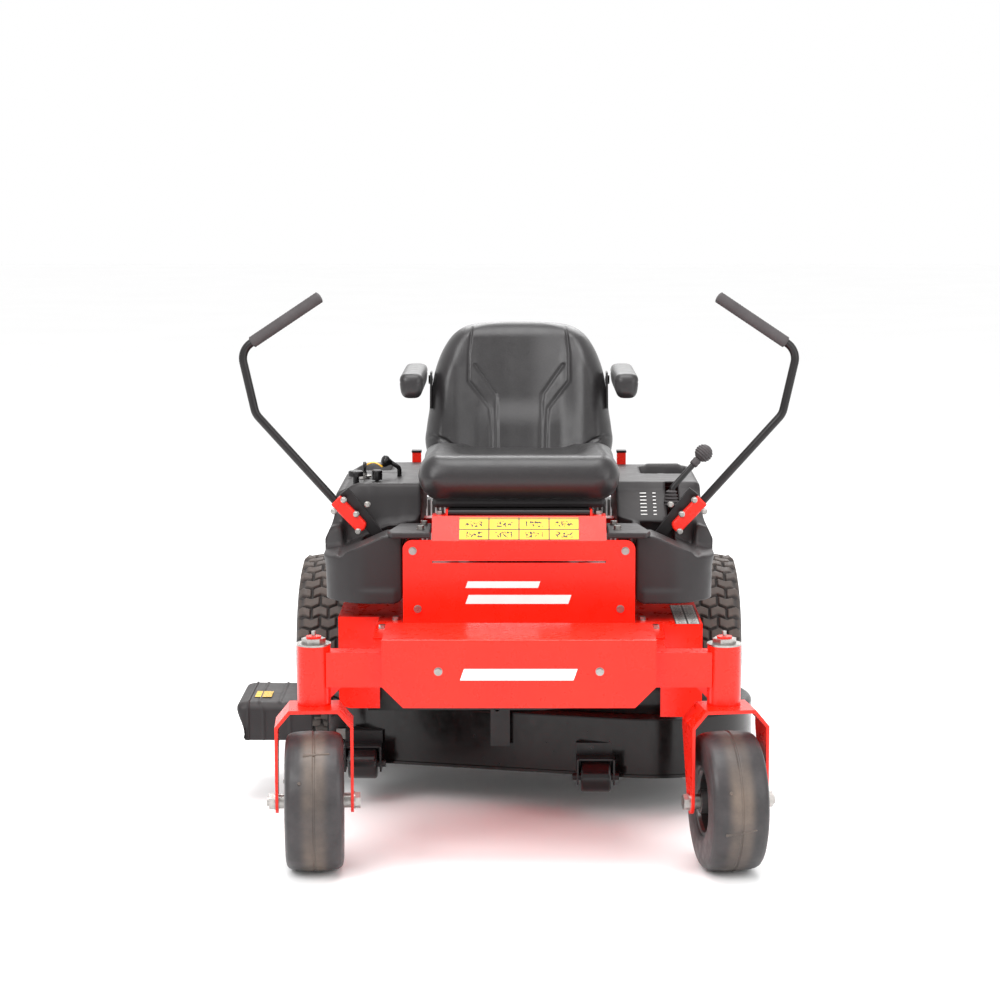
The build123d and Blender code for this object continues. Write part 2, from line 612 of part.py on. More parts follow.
def drive_belt():
    """The belt from the engine to both transmissions."""
    centres = [(-HYDRO_X, REAR_AXLE_Y), (HYDRO_X, REAR_AXLE_Y)]
    return loop_belt(centres, 57.4, (348.5, 353.5), 8)


def engine_pulleys():
    """The crankshaft stub with the drive pulley and the tall smooth drum of the blade clutch."""
    drum = rod((0, 0, 178), (0, 0, 290), 52) + rod((0, 0, 290), (0, 0, 444), 14)
    return Pos(0, ENGINE_Y) * (drum + rod((0, 0, 340), (0, 0, 362), 48.9))


# ---- engine ---------------------------------------------------------------------------------------
def engine_block():
    """The crankcase and two finned cylinders set in a V towards the rear."""
    y = ENGINE_Y
    case = block((-120, 120), (y - 130, y + 120), (434, 600))
    case = fillet(case.edges().filter_by(Axis.Z), 30)
    case -= rod((0, y, 430), (0, y, 446), 14 + RUN_FIT)
    for sign in (-1, 1):
        at = Pos(sign * 95, y + 60, 520) * Rot(Z=-sign * 40)
        case += at * Box(70, 190, 80, align=(Align.CENTER, Align.MIN, Align.CENTER))
        for k in range(7):
            case += at * Pos(0, 75 + 18 * k, 0) * Box(104, 6, 108)
    return case


def blower_housing():
    """The cooling shroud over the engine: a low drum with shoulders and an intake opening."""
    y = ENGINE_Y
    drum = rod((0, y, 600), (0, y, 668), 150)
    drum += block((-165, 165), (y, y + 170), (600, 650))
    drum -= rod((0, y, 600), (0, y, 664), 140)
    for k in range(6):
        drum -= Pos(0, y, 0) * Rot(Z=60 * k) * block((30, 125), (-9, 9), (660, 670))
    return drum


def air_filter():
    """The filter canister lying across the top of the engine, with its end caps."""
    y, z = ENGINE_Y + 150, 718
    can = rod((-120, y, z), (120, y, z), 46)
    return can + rod((-126, y, z), (-100, y, z), 49) + rod((100, y, z), (126, y, z), 49)


def muffler():
    """The silencer across the rear with its outlet and two head pipes."""
    y, z = 800, 500
    can = fillet((rod((-130, y, z), (130, y, z), 48)).edges(), 8)
    can += rod((90, y, z - 30), (90, y + 40, z - 70), 14)
    return can


def fuel_tank():
    """The blow-moulded tank behind the left console, with its filler neck and cap."""
    tank = fillet(block((262, 398), (262, 545), (470, 640)).edges(), 18)
    tank += rod((330, 330, 636), (330, 330, 652), 26)
    return Compound([tank, rod((330, 330, 652), (330, 330, 676), 36)])


def battery():
    """The starting battery with its two posts."""
    case = block((-390, -300), (270, 440), (470, 600)) + block((-394, -296), (266, 444), (585, 600))
    for y in (300, 410):
        case += rod((-330, y, 600), (-330, y, 616), 9)
    return case


# ---- cutting deck -------------------------------------------------------------------------------
(RX, RY), (LX, LY) = SPINDLE["right"], SPINDLE["left"]
DECK_RUN = math.hypot(LX - RX, LY - RY)
DECK_TURN = math.degrees(math.atan2(LY - RY, LX - RX))


def deck_outline(radius, z):
    """The two blade circles and the band between them, between two heights."""
    face = Pos(RX, RY) * Circle(radius) + Pos(LX, LY) * Circle(radius)
    middle = Pos((RX + LX) / 2, (RY + LY) / 2) * Rot(Z=DECK_TURN) * Rectangle(DECK_RUN, 2 * radius)
    return Pos(Z=z[0]) * extrude(face + middle, z[1] - z[0], dir=(0, 0, 1))


def deck_shell():
    """The cutting deck: a deep inverted tray with a rolled lip, a discharge window and domes."""
    low, high = DECK_Z
    shell = deck_outline(DECK_R, (low, high))
    shell = fillet(shell.edges().group_by(Axis.Z)[-1], 14)
    inner = deck_outline(DECK_R - SHEET, (low, high - SHEET))
    shell -= fillet(inner.edges().group_by(Axis.Z)[-1], 14 - SHEET)
    shell += deck_outline(DECK_R + 4, (low, low + 6)) - deck_outline(DECK_R - SHEET, (low, low + 6))
    shell -= block((-460, RX - 150), (-150, 60), (low - 1, 196))
    shell -= block((-460, -332), (170, 300), (0, 400))
    for x, y in SPINDLE.values():
        shell += rod((x, y, high), (x, y, high + 7), 70)
        shell -= rod((x, y, low), (x, y, high + 10), 17 + RUN_FIT)
    return shell


def deck_brackets():
    """The roller brackets and their pins, the front hanger strap and two lift lugs."""
    low, high = DECK_Z
    tray = deck_outline(DECK_R, (0, high)) + deck_outline(DECK_R + 4, (low, low + 6))
    pieces = []
    for x, y in ROLLERS:
        bracket = block((x - 41, x + 41), (y + 38, y + 80), (100, 160))
        bracket += block((x - 41, x + 41), (y - 4, y + 42), (130, 134))
        for edge in (x - 41, x + 37):
            bracket += block((edge, edge + 4), (y - 12, y + 80), (78, 134))
        bracket += rod((x - 50, y, ROLLER_Z), (x + 50, y, ROLLER_Z), 8)
        pieces.append(bracket - tray)
    strap = block((-62, -20), (-296, -292), (144, 236)) - rod((-48, -300, 226), (-48, -280, 226), 6)
    strap += block((-62, -20), (-292, -255), (150, 190)) - tray
    pieces.append(strap)
    for x, y in ((-100, 60), (150, -20)):
        lug = block((x - 3, x + 3), (y - 25, y + 25), (high, high + 45))
        pieces.append(lug - rod((x - 5, y, high + 30), (x + 5, y, high + 30), 6))
    x, z = CHUTE_HINGE
    rail = rod((x, -246, z), (x, 16, z), 3)
    for y in (-246, 12):
        rail += block((x - 5, x + 20), (y, y + 4), (z - 8, z + 8))
    pieces.append(rail - tray)
    return Compound(pieces)


def anti_scalp_roller(x, y):
    """A rolled plastic wheel that keeps the deck off high ground."""
    barrel = fillet(rod((x - 32, y, ROLLER_Z), (x + 32, y, ROLLER_Z), ROLLER_R).edges(), 6)
    return barrel - rod((x - 40, y, ROLLER_Z), (x + 40, y, ROLLER_Z), 8 + RUN_FIT)


def discharge_chute():
    """The moulded deflector on its hinge rod: a flat hood rounded over at its outer end, two side
    walls, and three ribs over it; open beneath and outwards."""
    y = (-235, 5)
    line = [(-452, 226), (-585, 223), (-610, 214), (-623, 196), (-618, 176)]
    hood = along_y(strip(line, 4), y)
    foot = [(-618, 176), (-606, 143)]
    walls = {(y[0], y[0] + 5): (-452, 150), (y[1] - 5, y[1]): (-474, 150)}
    for wall, corner in walls.items():
        side = [(-458, 224)] + line[1:] + foot[1:] + [(corner[0] - 2, foot[1][1]), corner]
        hood += along_y(side, wall)
    for x in (-592, -552, -508):
        hood += block((x - 2, x + 2), (y[0] - 2.5, y[0]), (146, 222))
        hood += block((x - 2, x + 2), (y[0] - 2.5, y[1]), (222, 228))
    x, z = CHUTE_HINGE
    hood += rod((x, y[0], z), (x, y[1], z), 7)
    return hood - rod((x, -300, z), (x, 100, z), 3 + RUN_FIT)


def blade_spindle(side):
    """A spindle shaft with its pulley above the deck and its cutting blade below."""
    x, y = SPINDLE[side]
    shaft = rod((0, 0, 96), (0, 0, 262), 17) + grooved_pulley(60, 236, 258)
    blade = block((-BLADE_R, BLADE_R), (-28, 28), (96, 102))
    blade &= rod((0, 0, 90), (0, 0, 110), BLADE_R)
    for sign in (-1, 1):
        wing = block((sign * 140, sign * 200), (sign * 14, sign * 28), (102, 120))
        blade += wing
    nut = hex_bar((0, 0, 84), (0, 0, 96), 28)
    return Pos(x, y) * (shaft + blade + nut)


def blade_belt():
    """The belt from the clutch drum round both blade pulleys."""
    centres = [(RX, RY), (LX, LY), (0, ENGINE_Y)]
    return loop_belt(centres, 60.5, (244.5, 249.5), 8)


# ---- write every sub-part --------------------------------------------------------------------------
save(main_frame(), "main_frame")
save(front_beam(), "front_beam")
save(front_bumper(), "front_bumper")
save(floor_pan(), "floor_pan")
save(seat_tower(), "seat_tower")
save(tower_panel(), "tower_panel")
save(tower_flap(), "tower_flap")
save(rear_guard(), "rear_guard")
save(frame_bolts(), "frame_bolts")
save(key_switch(), "key_switch")
save(ignition_key(), "ignition_key")
save(choke_knob(), "choke_knob")
save(blade_switch(), "blade_switch")
save(throttle_lever(), "throttle_lever")
save(height_lever(), "height_lever")
save(seat_plate(), "seat_plate")
save(seat_shell(), "seat_shell")
save(seat_cushion(), "seat_cushion")
save(seat_backrest(), "seat_backrest")
save(pair(transmission()), "transmissions")
save(drive_belt(), "drive_belt")
save(engine_pulleys(), "engine_pulleys")
save(engine_block(), "engine_block")
save(blower_housing(), "blower_housing")
save(air_filter(), "air_filter")
save(muffler(), "muffler")
save(fuel_tank(), "fuel_tank")
save(battery(), "battery")
save(deck_shell(), "deck_shell")
save(deck_brackets(), "deck_brackets")
save(discharge_chute(), "discharge_chute")
save(blade_belt(), "blade_belt")
for name, place in zip(("left", "right"), ROLLERS):
    save(anti_scalp_roller(*place[:2]), "anti_scalp_roller_" + name)
for name, hand in SIDES.items():
    flip = Plane.YZ if hand < 0 else None
    for node, shape in (("control_arm", control_arm()), ("lever_tube", lever_tube()),
                        ("lever_grip", lever_grip()), ("armrest", armrest())):
        save(mirror(shape, about=flip) if flip else shape, node + "_" + name)
    save(fender(name), "fender_" + name)
    save(at_caster(name, caster_fork()), "caster_fork_" + name)
    save(at_caster(name, caster_hardware(hand)), "caster_hardware_" + name)
    axle = Pos(0, -CASTER_TRAIL, CASTER_R)
    save(at_caster(name, axle * caster_tyre()), "caster_tyre_" + name)
    save(at_caster(name, axle * Rot(Z=90 + 90 * hand * -1) * caster_rim()), "caster_rim_" + name)
    hub = Pos(hand * REAR_X, REAR_AXLE_Y, REAR_R) * Rot(Z=90 - 90 * hand)
    save(hub * rear_tyre(), "rear_tyre_" + name)
    save(hub * rear_rim(), "rear_rim_" + name)
    save(drive_pulley(hand), "drive_pulley_" + name)
    save(blade_spindle(name), "blade_spindle_" + name)
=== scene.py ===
"""A zero-turn riding mower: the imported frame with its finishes, and the pieces that need finer shapes."""
import json
import math

import bmesh
import bpy
import numpy as np
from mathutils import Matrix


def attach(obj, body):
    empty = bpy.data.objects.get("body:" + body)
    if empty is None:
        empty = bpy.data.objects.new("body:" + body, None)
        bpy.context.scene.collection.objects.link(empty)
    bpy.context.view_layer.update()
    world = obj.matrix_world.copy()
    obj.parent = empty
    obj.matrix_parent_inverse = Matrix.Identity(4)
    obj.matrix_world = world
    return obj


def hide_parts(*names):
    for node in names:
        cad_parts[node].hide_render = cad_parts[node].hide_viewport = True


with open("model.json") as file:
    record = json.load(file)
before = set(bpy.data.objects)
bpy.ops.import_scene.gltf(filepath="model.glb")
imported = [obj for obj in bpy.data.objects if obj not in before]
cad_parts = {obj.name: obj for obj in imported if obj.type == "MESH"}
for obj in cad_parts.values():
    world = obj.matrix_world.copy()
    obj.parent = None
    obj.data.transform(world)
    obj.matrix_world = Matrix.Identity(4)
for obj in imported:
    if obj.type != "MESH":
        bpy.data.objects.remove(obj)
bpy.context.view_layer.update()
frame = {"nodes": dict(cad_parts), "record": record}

MM = 0.001
FRONT_WALL_Y = -400          # foremost plane of the side mouldings
TUBE_Y = -247                # plane of the bent lever tubes
REAR_AXLE = (431, 418, 228.6)
CASTER_PIVOT = (411, -715)
CASTER_TRAIL = 45
CASTER_R = 139.7
CASTER_YAW = {"right": 3.5, "left": 8}
SEAT_HALF = 213
SEAT_FRONT, SEAT_REAR = -378, 16
SEAT_MIDDLE_Z = 740
BACK_TOP = 1041
TURF_R = 228                 # radius that the tread's courses are spaced on
HAND = {1: "left", -1: "right"}
MOULD_BAR = {"right": [(-20, 53, -0.9), (5, 54, -0.6), (30, 55, -1.0)],
             "left": [(-32, -15, -2.2), (0, -13, -1.6), (28, -11, -2.2)]}
MOULD_BUTTON = {"right": (-28, 28), "left": (-22, 20)}
KEY_AT = (-346, -55)
KNOB_AT = (409, -125, 767)


# ---- finishes ---------------------------------------------------------------------------
def linear(code):
    """An sRGB hex colour as linear RGBA."""
    parts = np.array([int(code[k:k + 2], 16) for k in (1, 3, 5)]) / 255
    low, high = parts / 12.92, ((parts + 0.055) / 1.055) ** 2.4
    return (*np.where(parts <= 0.04045, low, high), 1.0)


def add(tree, kind, inputs=(), **settings):
    """One shader node: settings are its properties, inputs its sockets with a value or another
    node's output."""
    node = tree.nodes.new("ShaderNode" + kind)
    for name, value in settings.items():
        setattr(node, name, value)
    for key, value in dict(inputs).items():
        if isinstance(value, bpy.types.NodeSocket):
            tree.links.new(value, node.inputs[key])
        else:
            node.inputs[key].default_value = value
    return node


def per_metre(millimetres):
    """The texture scale whose features are that many millimetres across."""
    return 1 / (millimetres * MM)


def noise(tree, where, millimetres, detail=3.0, roughness=0.55):
    """Cloudy noise with features of a real size."""
    sockets = {"Vector": where, "Scale": per_metre(millimetres), "Detail": detail, "Roughness": roughness}
    return add(tree, "TexNoise", sockets).outputs["Fac"]


def mixed(tree, factor, low, high):
    """The colour low where factor is 0 and high where it is 1."""
    return add(tree, "Mix", {"Factor": factor, "A": low, "B": high}, data_type="RGBA").outputs["Result"]


def spread(tree, value, low, high, start=0.3, end=0.7):
    """value carried from the range start..end onto low..high."""
    sockets = {"Value": value, "From Min": start, "From Max": end, "To Min": low, "To Max": high}
    return add(tree, "MapRange", sockets).outputs["Result"]


def begin(name):
    """A new material with its tree, its shader and the object coordinates."""
    material = bpy.data.materials.new(name)
    material.use_nodes = True
    tree = material.node_tree
    shader = tree.nodes["Principled BSDF"]
    where = add(tree, "TexCoord").outputs["Object"]
    return material, tree, shader, where


def bumped(tree, shader, heights):
    """Lay bumps over each other; each is (height output, depth in mm, strength)."""
    normal = None
    for height, depth, strength in heights:
        sockets = {"Height": height, "Distance": depth * MM, "Strength": strength}
        if normal is not None:
            sockets["Normal"] = normal
        normal = add(tree, "Bump", sockets).outputs["Normal"]
    tree.links.new(normal, shader.inputs["Normal"])


def finish(name, colours, patch, rough, grain, **constants):
    """A painted, moulded or plated surface.
    colours: its two nearby shades, in patches patch mm across; rough: lowest and highest
    roughness; grain: (size mm, depth mm, strength) of its fine relief; constants: shader sockets."""
    material, tree, shader, where = begin(name)
    shade = spread(tree, noise(tree, where, patch, 4.0), 0, 1)
    tree.links.new(mixed(tree, shade, linear(colours[0]), linear(colours[1])), shader.inputs["Base Color"])
    wear = spread(tree, noise(tree, where, patch / 5, 5.0, 0.65), *rough)
    tree.links.new(wear, shader.inputs["Roughness"])
    size, depth, strength = grain
    bumped(tree, shader, [(noise(tree, where, size, 2.0), depth, strength)])
    for key, value in constants.items():
        shader.inputs[key.replace("_", " ")].default_value = value
    return material


def dusted(name, colours, dust, size, rough, grain, **constants):
    """A finish with dust on the faces that look up and in cloudy patches."""
    material = finish(name, colours, size, rough, grain, **constants)
    tree = material.node_tree
    shader = tree.nodes["Principled BSDF"]
    base = shader.inputs["Base Color"].links[0].from_socket
    where = add(tree, "TexCoord").outputs["Object"]
    up = add(tree, "SeparateXYZ", {"Vector": add(tree, "NewGeometry").outputs["Normal"]}).outputs["Z"]
    cloud = spread(tree, noise(tree, where, size / 2, 6.0, 0.7), 0.35, 1.0)
    lying = add(tree, "Math", {0: spread(tree, up, 0, dust[1], 0.2, 1.0), 1: cloud}, operation="MULTIPLY")
    tree.links.new(mixed(tree, lying.outputs[0], base, linear(dust[0])), shader.inputs["Base Color"])
    return material


def leathery(name, colours, cell, fold, rough, **constants):
    """Calendered vinyl: pebbles cell mm across with faint folds fold mm apart, and a satin sheen."""
    material, tree, shader, where = begin(name)
    pebbles = add(tree, "TexVoronoi", {"Vector": where, "Scale": per_metre(cell)}, feature="DISTANCE_TO_EDGE")
    edge = spread(tree, pebbles.outputs["Distance"], 0, 1, 0.0, 0.35)
    shade = spread(tree, noise(tree, where, 60, 4.0), 0, 1)
    base = mixed(tree, shade, linear(colours[0]), linear(colours[1]))
    tree.links.new(mixed(tree, edge, linear(colours[2]), base), shader.inputs["Base Color"])
    tree.links.new(spread(tree, noise(tree, where, 25, 5.0), *rough), shader.inputs["Roughness"])
    bumped(tree, shader, [(noise(tree, where, fold, 3.0), 0.8, 0.25), (edge, 0.25, 0.35)])
    for key, value in constants.items():
        shader.inputs[key.replace("_", " ")].default_value = value
    return material


def tread_rubber(name, colours, dirt, rough):
    """Cured tyre rubber: soot-dark, scuffed paler where it meets the ground, earth in patches.
    The piece carries the attribute wear: 0 on the walls and in grooves, 1 on the crown."""
    material, tree, shader, where = begin(name)
    worn = add(tree, "Attribute", attribute_name="wear").outputs["Fac"]
    cloud = spread(tree, noise(tree, where, 45, 6.0, 0.65), 0, 1, 0.35, 0.65)
    base = mixed(tree, cloud, linear(colours[0]), linear(colours[1]))
    amount = add(tree, "Math", {0: worn, 1: spread(tree, noise(tree, where, 70, 5.0, 0.7), 0.35, 1.0)},
                 operation="MULTIPLY").outputs[0]
    tree.links.new(mixed(tree, amount, base, linear(dirt)), shader.inputs["Base Color"])
    tree.links.new(spread(tree, noise(tree, where, 20, 6.0), *rough), shader.inputs["Roughness"])
    bumped(tree, shader, [(noise(tree, where, 2.5, 3.0), 0.2, 0.35), (noise(tree, where, 14, 3.0), 0.5, 0.2)])
    shader.inputs["Specular IOR Level"].default_value = 0.38
    return material


def label_film(name, ground, ink, cell, thin, blob):
    """Printed polyester film: cells with thin borders and a plain dark patch in each, no lettering.
    cell is the width and height of one cell in mm; the piece's own UV map is in mm."""
    material, tree, shader, where = begin(name)
    place = add(tree, "TexCoord").outputs["UV"]
    bricks = {"Vector": place, "Color1": linear(ground), "Color2": linear(ground), "Mortar": linear(ink),
              "Scale": 0.05, "Mortar Size": thin * 0.05, "Mortar Smooth": 0.1,
              "Brick Width": cell[0] * 0.05, "Row Height": cell[1] * 0.05}
    cells = add(tree, "TexBrick", bricks, offset=0.0).outputs["Color"]
    split = add(tree, "SeparateXYZ", {"Vector": place})
    inside = []
    for axis, step in zip("XY", cell):
        turn = add(tree, "Math", {0: split.outputs[axis], 1: step}, operation="DIVIDE").outputs[0]
        part = add(tree, "Math", {0: turn}, operation="FRACT").outputs[0]
        off = add(tree, "Math", {0: part, 1: 0.5}, operation="SUBTRACT").outputs[0]
        inside.append(add(tree, "Math", {0: off}, operation="ABSOLUTE").outputs[0])
    far = add(tree, "Math", {0: inside[0], 1: inside[1]}, operation="MAXIMUM").outputs[0]
    room = spread(tree, far, 1, 0, 0.26, 0.32)
    marks = spread(tree, noise(tree, place, blob / MM, 1.0), 0, 1, 0.50, 0.54)
    shown = add(tree, "Math", {0: room, 1: marks}, operation="MULTIPLY").outputs[0]
    tree.links.new(mixed(tree, shown, cells, linear(ink)), shader.inputs["Base Color"])
    tree.links.new(spread(tree, noise(tree, where, 12), 0.3, 0.42), shader.inputs["Roughness"])
    bumped(tree, shader, [(noise(tree, where, 6), 0.05, 0.2)])
    return material


# Polyester powder coat over sheet steel: even, glossy, with a faint orange peel.
red_powder_coat = finish("red_powder_coat", ("#EE220E", "#E71C0B"), 180, (0.24, 0.34), (3.0, 0.12, 0.12),
                         Specular_IOR_Level=0.3, Coat_Weight=0.12, Coat_Roughness=0.12)
# Black powder coat on tube and bar: satin, so its highlights are soft and grey.
black_powder_coat = dusted("black_powder_coat", ("#131112", "#1B1819"), ("#6A6462", 0.06), 120, (0.26, 0.38),
                           (2.5, 0.12, 0.2), Specular_IOR_Level=0.35)
# Wet-looking black enamel of the pressed deck, with a little dry grass dust on top.
deck_enamel = dusted("deck_enamel", ("#0A0707", "#120D0D"), ("#3A322E", 0.12), 90, (0.14, 0.28),
                     (6.0, 0.25, 0.2), Specular_IOR_Level=0.25, Coat_Weight=0.1, Coat_Roughness=0.08)
# Bright chromated zinc plate on bolts: grey metal with a slight haze.
zinc_plate = finish("zinc_plate", ("#B2AFAC", "#96938F"), 14, (0.24, 0.42), (1.2, 0.05, 0.3), Metallic=1.0)
# Bare ground steel of shafts and blades, darker and oilier than the plate.
ground_steel = finish("ground_steel", ("#8D8B89", "#6F6C69"), 30, (0.3, 0.5), (1.5, 0.06, 0.3), Metallic=1.0)
# Sand-cast aluminium of the engine and gearboxes: pale, rough and pitted.
cast_aluminium = finish("cast_aluminium", ("#A9A9A9", "#8C8B8A"), 40, (0.45, 0.62), (2.2, 0.35, 0.5),
                        Metallic=1.0)
# Cured tyre rubber, scuffed brown on the tread.
tyre_rubber = tread_rubber("tyre_rubber", ("#2E2B2B", "#3A3635"), "#564B45", (0.5, 0.68))
# The smoother skin of the small front tyres: brown-grey with a soft shine.
slick_rubber = tread_rubber("slick_rubber", ("#2C2A2B", "#3A3637"), "#6A5D53", (0.32, 0.48))
# Foamed rubber of the hand grips: matt and even, fine closed cells.
grip_foam = finish("grip_foam", ("#3F3B3C", "#4A4647"), 40, (0.6, 0.75), (1.4, 0.25, 0.5),
                   Specular_IOR_Level=0.35)
# Wrapped V belts: rubber with woven cover, dull.
belt_cover = finish("belt_cover", ("#1D1B1B", "#2A2625"), 12, (0.7, 0.85), (1.0, 0.2, 0.5))
# Rotomoulded and injection-moulded polypropylene panels: dark grey, fine leather-like grain.
moulded_polypropylene = dusted("moulded_polypropylene", ("#262324", "#2C292A"), ("#6F6A68", 0.12), 150,
                               (0.42, 0.52), (1.6, 0.22, 0.35), Specular_IOR_Level=0.3)
# Smooth black ABS covers: deep and shiny.
gloss_abs = finish("gloss_abs", ("#121011", "#181617"), 90, (0.16, 0.26), (8.0, 0.15, 0.12),
                  Specular_IOR_Level=0.35)
# Blow-moulded polyethylene tank: waxy and soft in its shine.
blown_polyethylene = finish("blown_polyethylene", ("#242122", "#2E2A2B"), 70, (0.44, 0.56), (5.0, 0.4, 0.35))
# Coated upholstery vinyl over moulded foam: black, pebbled, satin sheen.
upholstery_vinyl = leathery("upholstery_vinyl", ("#252324", "#2B2829", "#1B191A"), 2.4, 34, (0.28, 0.38),
                            Specular_IOR_Level=0.45, Sheen_Weight=0.05, Sheen_Roughness=0.4)
# Baked enamel of the wheel rims: dark and glossy.
rim_enamel = finish("rim_enamel", ("#2C2A2A", "#383535"), 60, (0.28, 0.4), (3.0, 0.1, 0.15), Coat_Weight=0.3)
# Printed polyester films with a clear top layer: even colour and a slight shine.
caution_film = label_film("caution_film", "#F6C61E", "#2A2412", (63.5, 25.6), 1.4, 5.0)
grey_film = label_film("grey_film", "#C9C6C2", "#3A3836", (26, 21), 2.0, 4.0)
white_film = finish("white_film", ("#F4F2F0", "#EAE8E6"), 50, (0.3, 0.4), (8.0, 0.05, 0.2))
key_tag = finish("key_tag", ("#F2B61A", "#E0A512"), 20, (0.35, 0.5), (3.0, 0.1, 0.3))

FINISHES = {
    "red_paint": red_powder_coat, "black_paint": black_powder_coat, "deck_paint": deck_enamel,
    "zinc": zinc_plate, "steel": ground_steel, "aluminium": cast_aluminium, "tyre": tyre_rubber,
    "grip_rubber": grip_foam, "belt_rubber": belt_cover, "dark_plastic": moulded_polypropylene,
    "gloss_plastic": gloss_abs, "tank_plastic": blown_polyethylene, "vinyl": upholstery_vinyl,
    "rim_enamel": rim_enamel,
}
for subpart in frame["record"]["subparts"]:
    node = frame["nodes"].get(subpart["node"])
    if node is None:
        continue
    node.data.materials.clear()
    node.data.materials.append(FINISHES[subpart["material_slot"]])


# ---- surfaces on a grid ------------------------------------------------------------------
def surface(name, points, material, wrap=(False, False), caps=(False, False), smooth=True, weld=0.02,
            holes=None, values=None, uv=None):
    """A mesh over points, an array of rows x columns x (x, y, z) in mm. wrap joins the last row or
    column to the first, caps closes the first or last row with one face, holes marks the quads left
    out, values is an attribute per point named wear, uv a map in mm per point. Faces point outwards."""
    rows, columns = points.shape[:2]
    index = np.arange(rows * columns).reshape(rows, columns)
    down = np.roll(index, -1, 0) if wrap[0] else index[1:]
    top = index if wrap[0] else index[:-1]

    def beside(block):
        return np.roll(block, -1, 1) if wrap[1] else block[:, 1:]

    trim = slice(None) if wrap[1] else slice(None, -1)
    quads = np.stack([top[:, trim], beside(top), beside(down), down[:, trim]], -1)
    quads = quads.reshape(-1, 4) if holes is None else quads[~holes]
    faces = quads.tolist()
    for wanted, ring in zip(caps, (index[0][::-1], index[-1])):
        if wanted:
            faces.append(ring.tolist())
    mesh = bpy.data.meshes.new(name)
    mesh.from_pydata((points.reshape(-1, 3) * MM).tolist(), [], faces)
    if values is not None:
        wear = mesh.attributes.new("wear", "FLOAT", "POINT")
        wear.data.foreach_set("value", values.astype(np.float32).ravel())
    if uv is not None:
        layer = mesh.uv_layers.new(name="film")
        corner = np.array([loop.vertex_index for loop in mesh.loops])
        layer.data.foreach_set("uv", uv.reshape(-1, 2)[corner].astype(np.float32).ravel())
    shape = bmesh.new()
    shape.from_mesh(mesh)
    bmesh.ops.remove_doubles(shape, verts=shape.verts, dist=weld * MM)
    bmesh.ops.dissolve_degenerate(shape, edges=shape.edges, dist=weld * MM)
    bmesh.ops.recalc_face_normals(shape, faces=shape.faces)
    shape.to_mesh(mesh)
    shape.free()
    mesh.polygons.foreach_set("use_smooth", [smooth] * len(mesh.polygons))
    mesh.materials.append(material)
    piece = bpy.data.objects.new(name, mesh)
    bpy.context.scene.collection.objects.link(piece)
    return piece


def wrapped(name, points, material, **more):
    """A surface whose last column joins its first, as round a tube or a plate's outline."""
    return surface(name, points, material, wrap=(False, True), **more)


def full_turn(count):
    """Angles evenly round a circle, without the repeated last one."""
    return np.linspace(0, 2 * np.pi, count, endpoint=False)


def placed(piece, body, slot, *nodes):
    """Ride a body and stand for CAD nodes; the slot argument is not used."""
    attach(piece, body)
    if nodes:
        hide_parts(*nodes)
    return piece


def thickened(piece, wall, offset=-1.0):
    """Give a sheet its wall in mm, inwards."""
    solid = piece.modifiers.new("wall", "SOLIDIFY")
    solid.thickness = wall * MM
    solid.offset = offset
    return piece


def softened(piece, width, segments=3):
    """Round the sharp edges of a piece to that width in mm."""
    bevel = piece.modifiers.new("edge", "BEVEL")
    bevel.width = width * MM
    bevel.segments = segments
    bevel.limit_method = "ANGLE"
    bevel.angle_limit = math.radians(35)
    return piece


def unit(vector):
    """Vectors scaled to length one along their last axis."""
    vector = np.asarray(vector, float)
    return vector / np.maximum(np.linalg.norm(vector, axis=-1, keepdims=True), 1e-9)


def turned(start, axis, profile, sides=48, around=(0, 2 * np.pi)):
    """Points of a (along, radius) profile turned about the line from start along axis:
    start + along * axis + radius * (cos a * u + sin a * v), a running round in equal steps."""
    axis = unit(axis)
    helper = np.array([0, 0, 1.0]) if abs(axis[2]) < 0.9 else np.array([1.0, 0, 0])
    u = unit(np.cross(helper, axis))
    v = np.cross(axis, u)
    profile = np.asarray(profile, float)
    angle = np.linspace(*around, sides, endpoint=False)
    ring = np.cos(angle)[:, None] * u + np.sin(angle)[:, None] * v
    return np.asarray(start, float) + profile[:, :1, None] * axis + profile[:, 1:, None] * ring


def rounded_path(points, bend, step=4.0):
    """A line of straight runs whose corners are arcs of radius bend: at each corner the arc starts
    bend * tan(turn / 2) before it and runs to the same distance after it."""
    points = [np.asarray(p, float) for p in points]
    line = [points[0]]
    for before, here, after in zip(points, points[1:], points[2:]):
        a, b = unit(before - here), unit(after - here)
        half = math.acos(float(np.clip(a @ b, -1, 1))) / 2
        centre = here + unit(a + b) * bend / math.sin(half)
        start, end = here + a * bend / math.tan(half), here + b * bend / math.tan(half)
        sweep = math.pi - 2 * half
        count = max(3, int(bend * sweep / step))
        share = np.linspace(0, 1, count)[:, None]
        p, q = start - centre, end - centre
        arc = (np.sin((1 - share) * sweep) * p + np.sin(share * sweep) * q) / math.sin(sweep)
        line.extend(centre + arc)
    line.append(points[-1])
    return np.array(line)


